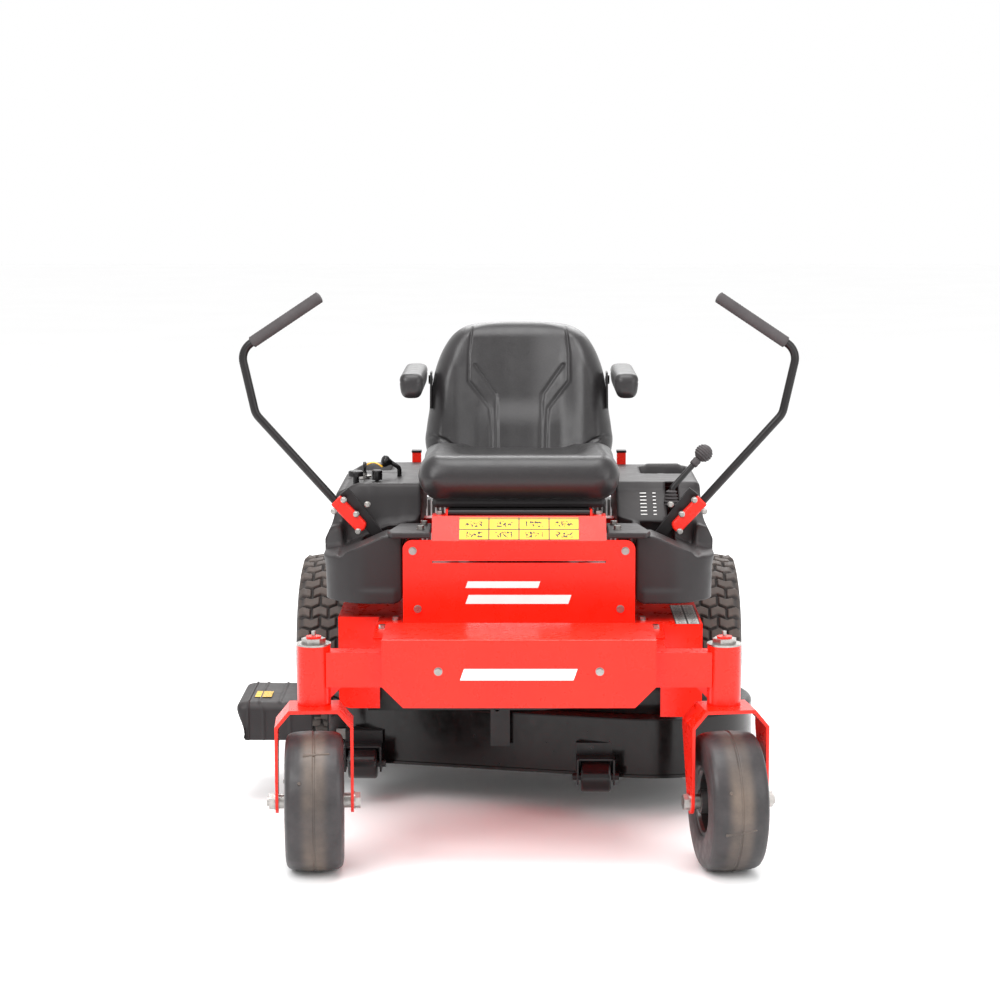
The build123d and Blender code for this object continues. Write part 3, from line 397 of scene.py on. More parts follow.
def tube_points(line, radius, normal, sides=24, round_ends=True):
    """Circles of radius carried along a flat line whose plane has the given normal:
    point + radius * (cos a * side + sin a * normal); the ends close in a quarter circle."""
    way = unit(np.gradient(line, axis=0))
    radii = np.full(len(line), float(radius)) if np.isscalar(radius) else np.asarray(radius, float)
    if round_ends:
        share = np.sin(np.linspace(0, np.pi / 2, 5))[:-1]
        fall = np.cos(np.linspace(0, np.pi / 2, 5))[:-1]
        reach = radii[0] * 0.35
        head = line[:1] - way[:1] * fall[:, None] * reach
        tail = line[-1:] + way[-1:] * fall[::-1][:, None] * reach
        line = np.vstack([head, line, tail])
        way = np.vstack([np.repeat(way[:1], 4, 0), way, np.repeat(way[-1:], 4, 0)])
        radii = np.concatenate([radii[0] * share, radii, radii[-1] * share[::-1]])
    normal = unit(normal)
    side = unit(np.cross(way, normal))
    angle = full_turn(sides)
    ring = np.cos(angle)[None, :, None] * side[:, None] + np.sin(angle)[None, :, None] * normal
    return line[:, None] + radii[:, None, None] * ring


def rounded_edge(distance, radius):
    """A quarter circle: 0 at the edge, 1 from radius inwards."""
    return np.sqrt(np.clip(1 - (1 - np.clip(distance / radius, 0, 1)) ** 2, 0, 1))


def slab(name, outline, normal, thickness, material, edge=1.0):
    """A flat plate: a convex outline carried along normal by thickness, its edges eased."""
    outline = np.asarray(outline, float)
    away = unit(normal) * thickness
    piece = wrapped(name, np.stack([outline, outline + away]), material,
                    caps=(True, True), smooth=False)
    return softened(piece, edge, 2) if edge else piece


def hexagon(name, start, axis, across, height, material):
    """A hexagon nut or bolt head with a domed chamfer: six sides, radius across / (2 cos 30)."""
    r = across / 2 / math.cos(math.pi / 6)
    profile = [(0, 0), (0, r), (height - across * 0.06, r), (height, r * 0.86), (height, 0)]
    return wrapped(name, turned(start, axis, profile, 6), material, smooth=False)


def joined(name, pieces):
    """Several pieces of one material as one object."""
    shape = bmesh.new()
    for piece in pieces:
        shape.from_mesh(piece.data)
    mesh = bpy.data.meshes.new(name)
    shape.to_mesh(mesh)
    shape.free()
    mesh.materials.append(pieces[0].data.materials[0])
    for piece in pieces:
        bpy.data.objects.remove(piece)
    whole = bpy.data.objects.new(name, mesh)
    bpy.context.scene.collection.objects.link(whole)
    return whole


def ease(value, low, high):
    """A smooth step from 0 at low to 1 at high."""
    t = np.clip((value - low) / (high - low), 0, 1)
    return t * t * (3 - 2 * t)


def bump(value, low, high, soft):
    """1 between low and high, falling to 0 over soft on each side."""
    return ease(value, low - soft, low) * (1 - ease(value, high, high + soft))


def averaged(field, times, fixed_rows=()):
    """Each point moved halfway to the mean of its four neighbours, times over; the first, last and
    fixed rows stay, and columns run round."""
    for _ in range(times):
        mean = (np.roll(field, 1, 1) + np.roll(field, -1, 1)) / 4
        mean[1:-1] += (field[:-2] + field[2:]) / 4
        fresh = field.copy()
        fresh[1:-1] = (field[1:-1] + mean[1:-1]) / 2
        for row in fixed_rows:
            fresh[row] = field[row]
        field = fresh
    return field


# ---- tyres ---------------------------------------------------------------------------------
def turf_tyre(side):
    """A rear turf tyre: the (x, r) outline of the carcass turned about the axle, with blocks raised
    on the crown. A point is in a groove where its course number, (arc + zigzag(x)) / pitch, is near
    a whole number, or where x is near a cut that shifts by half a block from course to course."""
    cx, cy, cz = REAR_AXLE
    knots = np.array([(-78, 103), (-91, 108), (-96, 122), (-99, 140), (-100, 160), (-100, 178), (-97, 196),
                      (-92, 208), (-84, 215)], float)
    crown = np.linspace(-76, 76, 78)
    belly = 219.5 - 6.0 * (np.abs(crown) / 76) ** 3
    outer = np.vstack([knots, np.column_stack([crown, belly]), knots[::-1] * (-1, 1)])
    inner = np.array([(72, 104), (88, 124), (91, 160), (86, 195), (60, 208), (0, 212), (-60, 208), (-86, 195),
                      (-91, 160), (-88, 124), (-72, 104)], float)
    section = np.vstack([outer, inner])
    around = 800
    angle = full_turn(around)[:, None]
    x, r = section[:, 0][None], section[:, 1][None]
    courses, period = 52, 41.0
    zigzag = np.abs(((x / period) % 1) - 0.5) * 2 * 8.0
    pitch = 2 * np.pi * TURF_R / courses
    course = angle / (2 * np.pi) * courses + zigzag / pitch
    off = np.abs(course - np.round(course)) * pitch
    cut = (x / period + 0.5 * (np.floor(course) % 2)) % 1
    gap = np.abs(cut - np.round(cut)) * period
    raised = ease(off, 2.2, 3.8) * ease(gap, 2.0, 3.8)
    on_crown = 1 - ease(np.abs(x), 92, 99.5)
    is_outer = np.arange(len(section))[None] < len(outer)
    shoulder = ease(r, 196, 210)
    lift = np.where(is_outer, raised * on_crown * shoulder * 9.0, 0)
    radius = r + lift
    sway = side * x + 0 * angle
    points = np.stack([side * cx + sway, cy + radius * np.cos(angle), cz + radius * np.sin(angle)], -1)
    wear = np.where(is_outer, raised * shoulder, 0) + 0 * angle
    name = HAND[side]
    tyre = surface("turf_tyre_" + name, points, tyre_rubber, wrap=(True, True), values=wear, weld=0.001)
    return placed(tyre, "rear_wheel_" + name, "tyre", "rear_tyre_" + name)


def caster_frame(side):
    """The axle centre of a front wheel and its axle direction."""
    name = HAND[side]
    turn = math.radians(CASTER_YAW[name])
    centre = np.array([side * CASTER_PIVOT[0] + CASTER_TRAIL * math.sin(turn),
                       CASTER_PIVOT[1] - CASTER_TRAIL * math.cos(turn), CASTER_R])
    return centre, np.array([math.cos(turn), math.sin(turn), 0.0])


def slick_tyre(side):
    """A smooth front tyre: a rounded outline turned about its axle, with the mould's parting groove
    on the crown, a short moulded bar and a round button."""
    name = HAND[side]
    centre, axle = caster_frame(side)
    half = np.array([(-48, 64.5), (-54, 70), (-57, 82), (-58, 98), (-58, 113), (-57.3, 121),
                     (-55.4, 128), (-52, 132.6), (-46, 135.6), (-38, 137.3), (-28, 138.5),
                     (-18, 139.1), (-8, 139.5), (-2.6, 139.6), (-1.8, 138.4)], float)
    outer = np.vstack([half, (0, 138.1), half[::-1] * (-1, 1)])
    inner = np.array([(40, 66), (46, 82), (47, 105), (40, 122), (18, 130), (-18, 130), (-40, 122), (-47, 105),
                      (-46, 82), (-40, 66)], float)
    section = np.vstack([outer, inner])
    place = np.arange(len(section) * 3) / 3
    first = np.floor(place).astype(int)
    part = (place % 1)[:, None]
    section = section[first] * (1 - part) + section[(first + 1) % len(section)] * part
    points = turned(centre, axle, section, 200)
    angle = full_turn(200)[None]
    x, r = section[:, :1], section[:, 1:]
    patches = 0.75 + 0.25 * np.sin(3 * angle + 5 * side)
    wear = np.where(r > 132, 1 - ease(np.abs(x), 12, 32), 0) * patches
    tyre = surface("slick_tyre_" + name, points, slick_rubber, wrap=(True, True), values=wear, weld=0.001)

    def on_tread(across, degrees, lift):
        """A point over the tread, across the wheel and degrees up from straight ahead."""
        up = math.radians(degrees)
        ahead = np.array([axle[1], -axle[0], 0.0])
        outward = math.cos(up) * ahead + math.sin(up) * np.array([0, 0, 1.0])
        return centre + axle * across + (CASTER_R + lift) * outward

    bar = np.array([on_tread(*at) for at in MOULD_BAR[name]])
    outward = on_tread(0, MOULD_BAR[name][1][1], 0) - centre
    marks = [wrapped("bar", tube_points(bar, [3.2, 2.6, 2.0], outward, 12), slick_rubber,
                     values=np.full((11, 12), 0.9))]
    spot = on_tread(*MOULD_BUTTON[name], -1.2)
    cup = [(0, 0), (0, 3.6), (1.8, 3.2), (2.2, 2.2), (1.4, 1.2), (1.4, 0)]
    marks.append(wrapped("button", turned(spot, spot - centre - axle * MOULD_BUTTON[name][0], cup, 20),
                         slick_rubber, values=np.full((6, 20), 0.9)))
    placed(joined("mould_marks_" + name, marks), "caster_wheel_" + name, "tyre")
    return placed(tyre, "caster_wheel_" + name, "tyre", "caster_tyre_" + name)


for hand in (1, -1):
    turf_tyre(hand)
    slick_tyre(hand)


# ---- seat ---------------------------------------------------------------------------------------
def seat_cushion():
    """The seat: for each y a closed ring of x, whose upper and lower faces meet at a rounded rim.
    Height above the middle plane is half the thickness times the rim's quarter circles, plus a dip
    for the sitter, side bolsters that fade towards the back, and sewn grooves. The front corners
    are drawn in by a quarter circle."""
    length = 1 - np.cos(np.linspace(0, np.pi / 2, 34))
    front = SEAT_FRONT + 110 * length
    rear = SEAT_REAR - 46 * (1 - np.sin(np.linspace(0.05, np.pi / 2, 14)))
    y = np.concatenate([front, np.linspace(-262, -30, 40), rear])[:, None]
    half_turn = np.linspace(0, np.pi, 72)
    upper = -np.cos(half_turn)
    share = np.concatenate([upper, upper[-2:0:-1]])[None]
    is_upper = (np.arange(share.shape[1]) < 72)[None]
    pull = 7 * ease(-y, 300, 378) + 5 * bump(y, -210, -120, 90)
    corner = 30 * (1 - rounded_edge(y - SEAT_FRONT, 36))
    width = SEAT_HALF - pull - corner + 3 * bump(y, -330, -280, 50)
    x = share * width
    rim_x = rounded_edge(width - np.abs(x), 40)
    rim_y = rounded_edge(y - SEAT_FRONT, 42) * rounded_edge(SEAT_REAR - y, 26)
    crown = 46 * rim_x * rim_y
    wide = np.abs(x)
    dip = -20 * (1 - ease(wide, 90, 165)) * ease(y, -330, -190)
    bolster = (8 - 16 * ease(y, -180, 0)) * bump(wide, 152, 190, 30) * ease(y, -330, -180)
    groove = -3.5 * np.exp(-((wide - 132) / 3.0) ** 2) * ease(y, -352, -330)
    cross = -3.5 * np.exp(-((y + 205) / 3.2) ** 2) * (1 - ease(wide, 126, 134))
    top = SEAT_MIDDLE_Z + crown + (dip + bolster + groove + cross) * rim_x * rim_y
    low = SEAT_MIDDLE_Z - 48 * rim_x * rim_y
    z = np.where(is_upper, top, low)
    points = np.stack([x, y + 0 * x, z], -1)
    pad = wrapped("seat_pad", points, upholstery_vinyl, weld=0.05)
    placed(pad, "seat", "vinyl", "seat_cushion")
    return pad


def near_line(x, z, points):
    """Each point's distance in mm to a line of straight runs in the (x, z) plane."""
    best = np.full(np.broadcast(x, z).shape, 1e9)
    for (x0, z0), (x1, z1) in zip(points, points[1:]):
        run = np.array([x1 - x0, z1 - z0], float)
        t = np.clip(((x - x0) * run[0] + (z - z0) * run[1]) / (run @ run), 0, 1)
        best = np.minimum(best, np.hypot(x - x0 - t * run[0], z - z0 - t * run[1]))
    return best


def smooth_line(points, count=60):
    """The points of a Catmull-Rom curve through the given ones."""
    p = np.asarray(points, float)
    p = np.vstack([2 * p[0] - p[1], p, 2 * p[-1] - p[-2]])
    t = np.linspace(0, len(points) - 1 - 1e-6, count)
    k = t.astype(int)
    f = (t - k)[:, None]
    a, b, c, d = p[k], p[k + 1], p[k + 2], p[k + 3]
    square, cube = 2 * a - 5 * b + 4 * c - d, 3 * b - a - 3 * c + d
    return 0.5 * (2 * b + (c - a) * f + square * f ** 2 + cube * f ** 3)


BACK_OUTLINE = [(700, 196), (767, 213), (804, 211), (845, 205), (878, 201), (920, 195), (957, 184),
                (990, 168), (1015, 148), (1031, 122), (1038, 90), (BACK_TOP, 50)]


def back_ring(rows, across, low):
    """Heights, half widths and the ring of x shares of the back: rows crowd towards the top, and
    columns towards the rims."""
    outline = smooth_line(BACK_OUTLINE, 120)
    z = low + (BACK_TOP - low) * np.sin(np.linspace(0, 1, rows) * np.pi / 2) ** 0.94
    upper = -np.cos(np.linspace(0, np.pi, across))
    upper = 0.55 * upper + 0.45 * np.linspace(-1, 1, across)
    share = np.concatenate([upper, upper[-2:0:-1]])[None]
    is_front = (np.arange(share.shape[1]) < across)[None]
    return z[:, None] + 0 * share, np.interp(z, outline[:, 0], outline[:, 1])[:, None], share, is_front


def backrest():
    """The back: for each height a closed ring of x whose half width follows the outline; the front
    face leans back, carries side bolsters and a middle panel let in along two sewn lines a side."""
    z, width, share, is_front = back_ring(220, 150, 706)
    x = share * width
    wide = np.abs(x)
    rim = rounded_edge(width - wide, 40) * rounded_edge(BACK_TOP + 0.5 - z, 34) * rounded_edge(z - 704, 24)
    lean = 18 + (z - 790) * (87 / 247)
    hollow = 14 * (1 - ease(wide, 20, 150))
    swell = -16 * bump(wide, 150, 176, 60) * (1 - ease(z, 940, 1020))
    lumbar = -12 * bump(z, 760, 810, 70) * (1 - ease(wide, 40, 150))
    outer_seam = [(108, 1030), (114, 975), (114, 912), (66, 850), (63, 822), (61, 745)]
    inner_seam = [(101, 948), (54, 882), (52, 860), (50, 745)]
    wing_seam = [(213, 785), (194, 792), (166, 783), (119, 746)]
    seam = 4.5 * np.exp(-(near_line(wide, z, outer_seam) / 2.8) ** 2)
    seam += 4.0 * np.exp(-(near_line(wide, z, inner_seam) / 2.8) ** 2)
    seam += 5.0 * np.exp(-(near_line(wide, z, wing_seam) / 3.4) ** 2)
    front_y = lean + 40 - 46 * rim + (hollow + swell + lumbar + seam) * rim
    back_y = lean + 40 + 46 * rim
    points = np.stack([x, np.where(is_front, front_y, back_y), z], -1)
    back = wrapped("back_pad", points, upholstery_vinyl, caps=(True, True), weld=0.05)
    placed(back, "seat", "vinyl", "seat_backrest")
    return back


def seat_shell():
    """The moulded shell: a dished back that follows the cushion's outline a little inside it, with
    two stiffening flutes, and a tray under the seat cushion."""
    z, width, share, is_front = back_ring(80, 60, 690)
    width = width * 0.955
    x = share * width
    rim = rounded_edge(width - np.abs(x), 26) * rounded_edge(1041.5 - z, 60) * rounded_edge(z - 688, 10)
    lean = 18 + (z - 790) * (87 / 247)
    flute = -7 * bump(np.abs(x), 58, 84, 10) * bump(z, 770, 950, 20)
    y = np.where(is_front, lean + 46, lean + 62 + (34 + flute) * rim)
    z = 690 + (z - 690) * 0.965
    back = wrapped("back_shell", np.stack([x, y, z], -1), moulded_polypropylene,
                   caps=(True, True), weld=0.05)
    placed(back, "seat", "dark_plastic", "seat_shell")
    outline = [(-186, -338, 673), (186, -338, 673), (186, 60, 673), (-186, 60, 673)]
    tray = slab("seat_tray", outline, (0, 0, 1), 22, moulded_polypropylene, 9)
    placed(tray, "seat", "dark_plastic")


def arm_pad(side):
    """An armrest: for each y a ring shaped like |x/a|^3.4 + |z/b|^3.4 = 1, drawn in at both ends by
    a quarter circle, with the sewn line between its top and side panels."""
    name = HAND[side]
    middle = np.array([side * 235.0, 0, 921.5])
    t = np.linspace(0, 1, 46)
    y = -200 + 312 * (0.5 - 0.5 * np.cos(np.pi * t))
    reach = np.minimum(y + 200, 112 - y)
    shrink = rounded_edge(reach, 17)
    angle = full_turn(64)
    c, s = np.cos(angle), np.sin(angle)
    power = (np.abs(c) ** 3.4 + np.abs(s) ** 3.4) ** (-1 / 3.4)
    seam = 1 - 0.045 * np.exp(-((s * power - 0.28) / 0.05) ** 2)
    a = 25.0 + 2.5 * s * power
    ring_x = c * power * a * seam
    ring_z = s * power * 27.5 * seam
    shrink_x = 0.25 + 0.75 * shrink
    shrink_x[[0, -1]] = 0
    shrink[[0, -1]] = 0
    shrink = np.where(shrink > 0, 0.2 + 0.8 * shrink, 0)
    points = np.stack([middle[0] + side * shrink_x[:, None] * ring_x,
                       np.broadcast_to(y[:, None], (len(y), 64)),
                       middle[2] + shrink[:, None] * ring_z], -1)
    pad = wrapped("arm_pad_" + name, points, upholstery_vinyl, weld=0.05)
    placed(pad, "armrest_" + name, "vinyl", "armrest_" + name)
    knob = [(0, 0), (0, 10), (5, 11), (9, 9), (10, 0)]
    hinge = wrapped("arm_knob_" + name, turned((side * 207, 90, 912), (-side, 0, 0), knob, 24), gloss_abs)
    placed(hinge, "armrest_" + name, "gloss_plastic")
    return pad


seat_cushion()
backrest()
seat_shell()
for hand in (1, -1):
    arm_pad(hand)


# ---- moulded consoles ----------------------------------------------------------------------------
def console(side):
    """A side moulding. Its plan is a closed outline P round a middle line C; the first rows run
    C + (P - C) t with their height from top_height(x, y), the rest run down P, swelling outwards
    by bulge(z). Averaging neighbours rounds the edges like a moulding's."""
    name = HAND[side]
    inner_x, spine_x, floor_z = 247.0, 325.0, 477.0
    y_line = np.linspace(-325, 160, 98)
    corner = np.linspace(0, np.pi / 2, 16)
    outer = np.column_stack([np.full(98, 395.0), y_line])
    front_arc = np.column_stack([320 + 75 * np.cos(corner), -325 - 75 * np.sin(corner)])[1:]
    front_flat = np.column_stack([np.linspace(320, 253, 14), np.full(14, FRONT_WALL_Y + 0.0)])[1:]
    front_in = np.column_stack([253 - 6 * np.sin(corner[::3]), -394 - 6 * np.cos(corner[::3])])[1:]
    front_side = np.column_stack([np.full(12, inner_x), np.linspace(-389, -330, 12)])
    inner = np.column_stack([inner_x - 31 * ease(y_line, -206, -190), y_line])
    rear_arc = np.column_stack([345 + 50 * np.sin(corner), 185 + 50 * np.cos(corner)])
    rear = np.vstack([np.column_stack([np.full(5, inner_x - 31), np.linspace(166, 225, 5)]),
                      np.column_stack([np.linspace(224, 340, 14), np.full(14, 235.0)]), rear_arc])
    plan = np.vstack([inner, rear, outer[::-1], front_arc, front_flat, front_in, front_side])
    centre = np.column_stack([np.full(len(plan), spine_x), np.clip(plan[:, 1], -325, 160)])
    t = np.linspace(0, 1, 18)[:, None, None]
    top_xy = centre[None] + (plan - centre)[None] * t

    def top_height(x, y):
        nose = 621 - 49 * np.clip((x - 286) / 109, 0, 1.2) + 4 * ease(y, -380, -250)
        ledge = -7 * bump(x, 262, 380, 10) * ease(y, -384, -372)
        if side > 0:
            slope = 630 + 54 * np.clip((y + 200) / 92, 0, 1) + 16 * ease(y, -108, -98)
            high = slope - 30 * bump(x, 287, 384, 5) * bump(y, 64, 184, 6)
            high = high + 5 * bump(x, 300, 372, 8) * bump(y, 196, 214, 4)
            step = ease(y, -214, -200)
        else:
            high = 705 - 50 * ease(-y, 172, 186) - 18 * ease(x, 350, 402)
            high = high - 3 * bump(x, 268, 388, 4) * bump(y, -150, 40, 4)
            high = high - 22 * bump(x, 300, 372, 6) * bump(y, 80, 190, 6)
            step = ease(y, -196, -184)
        rib = 46 * bump(x, 388, 400, 10) * bump(y, -235, -180, 14)
        return (nose + ledge) * (1 - step) + high * step + rib * (1 - step)

    top = np.dstack([top_xy, top_height(top_xy[..., 0], top_xy[..., 1])])
    rim = top[-1]
    low = floor_z + (603 - floor_z) * ease(inner_x - rim[:, 0], 4, 24)
    low = low + 18 * (1 - rounded_edge(rim[:, 0] - inner_x, 20)) * (rim[:, 1] < -300)
    levels = np.linspace(0, 1, 34)[1:, None]
    z = rim[None, :, 2] * (1 - levels) + low[None] * levels
    outwards = unit(np.roll(plan, -1, 0) - np.roll(plan, 1, 0))
    outwards = np.column_stack([-outwards[:, 1], outwards[:, 0]])
    facing = np.sign(np.sum(outwards * (plan - centre), 1))[:, None]
    outwards = outwards * facing
    is_outer = ease(plan[:, 0], 300, 380)[None]
    bulge = np.interp(z, [477, 540, 575, 592, 628, 642, 705], [20, 21, 27, 28, 11, 9, 8]) * is_outer
    skirt = 4.0 * (1 - ease(z, 500, 510)) * (1 - is_outer)
    push = bulge * ease(plan[:, 1], -385, -300)[None] + skirt
    push = push * (plan[:, 0] > inner_x + 14)[None]
    wall_xy = plan[None] + outwards[None] * push[..., None]
    wall = np.dstack([wall_xy, z])
    points = averaged(np.vstack([top, wall]), 1, fixed_rows=(0, 1))
    mid = (points[:-1] + np.roll(points[:-1], -1, 1) + points[1:] + np.roll(points[1:], -1, 1)) / 4
    mid_x, mid_y, mid_z = mid[..., 0], mid[..., 1], mid[..., 2]
    hole = (mid_x > 264) & (mid_x < 343) & (np.abs(mid_y + 241) < 34) & (mid_z > 560)
    if side > 0:
        hole |= (np.abs(mid_x - 338) < 16) & (mid_y > -208) & (mid_y < -96) & (mid_z > 610)
    points[..., 0] *= side
    shell = wrapped("console_" + name, points, moulded_polypropylene, holes=hole, weld=0.3)
    thickened(shell, 3.2)
    return placed(shell, "chassis", "dark_plastic", "fender_" + name)


for hand in (1, -1):
    console(hand)


def console_tabs(side):
    """The flanges that bolt the mouldings to the tower's shelf, as thin plates with eased edges."""
    name = HAND[side]
    corners = ((187, -433), (268, -433), (278, -402), (256, -284), (187, -284))
    outline = [(side * x, y, 621) for x, y in corners]
    plate = slab("console_tab_" + name, outline, (0, 0, 1), 12, moulded_polypropylene, 3)
    return placed(plate, "chassis", "dark_plastic")


for hand in (1, -1):
    console_tabs(hand)


# ---- steering levers -------------------------------------------------------------------------------
def lever(side):
    """The bent tube, its red clamp channel, the flat bar and the bolts, all in the fold's plane."""
    name = HAND[side]
    body = "steering_lever_" + name

    def at(x, z, y=TUBE_Y):
        return (side * x, y, z)

    line = rounded_path([at(372, 646), at(569.5, 866.4), at(600, 1004), at(452, 1102.7)], 40)
    tube = wrapped("lever_pipe_" + name, tube_points(line, 9, (0, 1, 0)), black_powder_coat)
    placed(tube, body, "black_paint", "lever_tube_" + name)
    low, high = np.array(at(573.5, 1021.7)), np.array(at(430, 1117.4))
    share = np.linspace(0, 1, 60)
    grip_line = low + (high - low) * share[:, None]
    radii = 12.8 + 0.3 * np.cos(share * 2 * np.pi * 26)
    grip = wrapped("hand_grip_" + name, tube_points(grip_line, radii, (0, 1, 0), 32), grip_foam)
    placed(grip, body, "grip_rubber", "lever_grip_" + name)

    foot, head = np.array([344.5, 621.5]), np.array([398.5, 678.5])
    way = unit(head - foot)
    across = np.array([-way[1], way[0]])
    arc = np.linspace(-np.pi / 2, np.pi / 2, 9)[:, None]
    round_foot = foot + 13.5 * np.sin(arc) * across - 13.5 * np.cos(arc) * way * 0.8
    square_head = [head + across * 13.5, head - across * 13.5]
    clamp_outline = [at(p[0], p[1], -258.5) for p in [*round_foot, *square_head]]
    clamp = slab("lever_clamp_" + name, clamp_outline, (0, 1, 0), 24, red_powder_coat, 3)
    placed(clamp, body, "red_paint")

    bar_outline = [at(290, 598, -234), at(310, 581, -234), at(391, 688, -234), at(371, 704, -234)]
    bar = slab("lever_bar_" + name, bar_outline, (0, 1, 0), 8, black_powder_coat, 1.2)
    placed(bar, body, "black_paint")

    bolts = []
    for x, z in ((380, 680), (353, 649), (330, 667), (349, 611), (402, 655)):
        start = at(x, z, -258.5 if x != 330 else -234)
        cup = turned(start, (0, -1, 0), [(0, 0), (0, 6.8), (1.6, 6.8), (2, 5.5), (2, 0)], 20)
        bolts.append(wrapped("washer", cup, zinc_plate, smooth=False))
        bolts.append(hexagon("head", np.array(start) + (0, -1.8, 0), (0, -1, 0), 10, 6.5, zinc_plate))
    placed(joined("lever_bolts_" + name, bolts), body, "zinc")


for hand in (1, -1):
    lever(hand)


# ---- controls -----------------------------------------------------------------------------------------
def height_knob():
    """The lift lever: a bent rod, a ringed ball knob turned about the rod, and a pleated boot."""
    foot, bend, grip = np.array([337, -148, 618.0]), np.array([337, -145, 690.0]), np.array(KNOB_AT, float)
    way = unit(grip - bend)
    normal = np.cross(way, (0, 0, 1.0))
    line = rounded_path([foot, bend, grip - way * 8], 26)
    rod = wrapped("lift_rod", tube_points(line, 6.5, normal, 20), black_powder_coat)
    placed(rod, "height_lever", "black_paint", "height_lever")
    angle = np.linspace(-0.42 * np.pi, np.pi / 2, 90)
    along = 19.5 * np.sin(angle)
    ridge = 0.8 * np.cos(along * 2 * np.pi / 5.6)
    ball = np.column_stack([along, (19.5 + ridge) * np.cos(angle)])
    neck = np.array([(-36, 0), (-36, 8.5), (-32, 9.5), (-27, 9.0), (-22, 9.6), (-19, 8.0)])
    knob = wrapped("lift_knob", turned(grip, way, np.vstack([neck, ball]), 40), grip_foam)
    placed(knob, "height_lever", "grip_rubber")
    share = np.linspace(0, 1, 40)
    cone = np.column_stack([32 * share, 17 - 7 * share + 1.8 * np.cos(share * 2 * np.pi * 4.5)])
    cone = np.vstack([[(0, 0)], cone, [(32, 0)]])
    boot = wrapped("lift_boot", turned((337, -148, 655), (0, 0.05, 1), cone, 36), grip_foam)
    placed(boot, "height_lever", "grip_rubber")


def key_and_tag():
    """The key's moulded head and its yellow tag, a plate bent over the switch's rim."""
    x, y = KEY_AT
    t = full_turn(40)
    height = 727 + 13 * np.sin(t) * (1 - 0.15 * np.cos(t))
    outline = np.column_stack([np.full(40, x - 3.5), y + 13 * np.cos(t), height])
    head = slab("key_head", outline, (1, 0, 0), 7, gloss_abs, 1.8)
    placed(head, "ignition_key", "gloss_plastic", "ignition_key")
    ring = turned((x, y, 709.4), (0, 0, 1), [(0, 0), (0, 5), (8, 5), (8, 0)], 20)
    placed(wrapped("key_stem", ring, zinc_plate, smooth=False), "ignition_key", "zinc")
    u = np.linspace(0, 1, 24)[:, None]
    v = np.linspace(-1, 1, 12)[None]
    height = 734 + 7 * np.sin(u * np.pi) - 6 * u + 1.5 * v ** 2
    arch = np.stack([x + 6 + 34 * u + 0 * v, y - 16 + 8 * v + 4 * u, height], -1)
    tag = thickened(surface("key_tag", arch, key_tag), 1.6, 0)
    placed(tag, "ignition_key", "gloss_plastic")


def throttle():
    """The throttle: a bent strip rising from its slot, and a mushroom knob laid over."""
    line = rounded_path([(-270, -20, 652), (-270, -20, 722), (-292, -26, 737)], 9)
    strip_points = tube_points(line, 5, np.cross((-22, -6, 15), (0, 0, 1.0)), 16)
    arm = wrapped("throttle_arm", strip_points, gloss_abs)
    placed(arm, "throttle_lever", "gloss_plastic", "throttle_lever")
    profile = [(0, 0), (0, 6), (6, 9), (10, 13), (15, 14), (20, 12), (23, 7), (24, 0)]
    knob = wrapped("throttle_knob", turned((-288, -25, 734), (-0.92, -0.2, 0.25), profile, 32), gloss_abs)
    placed(knob, "throttle_lever", "gloss_plastic")


height_knob()
key_and_tag()
throttle()


# ---- side chute ------------------------------------------------------------------------------------
def deflector():
    """The moulded deflector: at each station along its outline a bridge of front wall, rounded
    corner, top, corner and rear wall; three ribs stand out by a bell curve of x."""
    stations = 150
    top_line = smooth_line([(-455, 226), (-505, 226), (-550, 226), (-588, 227), (-605, 226), (-616, 223),
                            (-621.5, 217), (-622.3, 208), (-619, 197), (-612, 184), (-606, 169)], stations)
    foot_x = np.maximum(top_line[:, 0], -603)
    foot_z = np.full(stations, 143.0)
    r = 20.0
    up = np.linspace(0, 1, 14)[:-1]
    arc = np.linspace(0, np.pi / 2, 9)
    flat = np.linspace(0, 1, 24)[1:-1]
    # share: 0 at the foot, 1 at the level of the corner's start; rise and run: place on the corner
    share = np.concatenate([up, np.ones(9), np.ones(22), np.ones(9), up[::-1]])
    rise = np.concatenate([0 * up, np.sin(arc), np.ones(22), np.sin(arc)[::-1], 0 * up])
    run = np.concatenate([0 * up, r * (1 - np.cos(arc)), r + flat * (240 - 2 * r),
                          240 - r * (1 - np.cos(arc))[::-1], 240 + 0 * up])
    base = top_line[:, 1] - r
    z = foot_z[:, None] + (base - foot_z)[:, None] * share + r * rise
    x = foot_x[:, None] + (top_line[:, 0] - foot_x)[:, None] * (0.25 * share + 0.75 * rise)
    y = -235 + run + 0 * x
    rib = sum(np.exp(-((x - at + shift * rise) / 1.9) ** 2)
              for at, shift in ((-596, 0), (-562, 10), (-504, 24))) * 3.2
    y = y - rib * (1 - rise) * (run < 120)
    z = z + rib * rise
    hood = surface("deflector", np.stack([x, y, z], -1), moulded_polypropylene, weld=0.05)
    thickened(hood, 3.5)
    placed(hood, "discharge_chute", "dark_plastic", "discharge_chute")
    barrel = [(0, 0), (0, 6), (1, 7), (237, 7), (238, 6), (238, 0)]
    hinge = wrapped("deflector_barrel", turned((-461, -234, 218), (0, 1, 0), barrel, 24),
                    moulded_polypropylene)
    placed(hinge, "discharge_chute", "dark_plastic")


deflector()


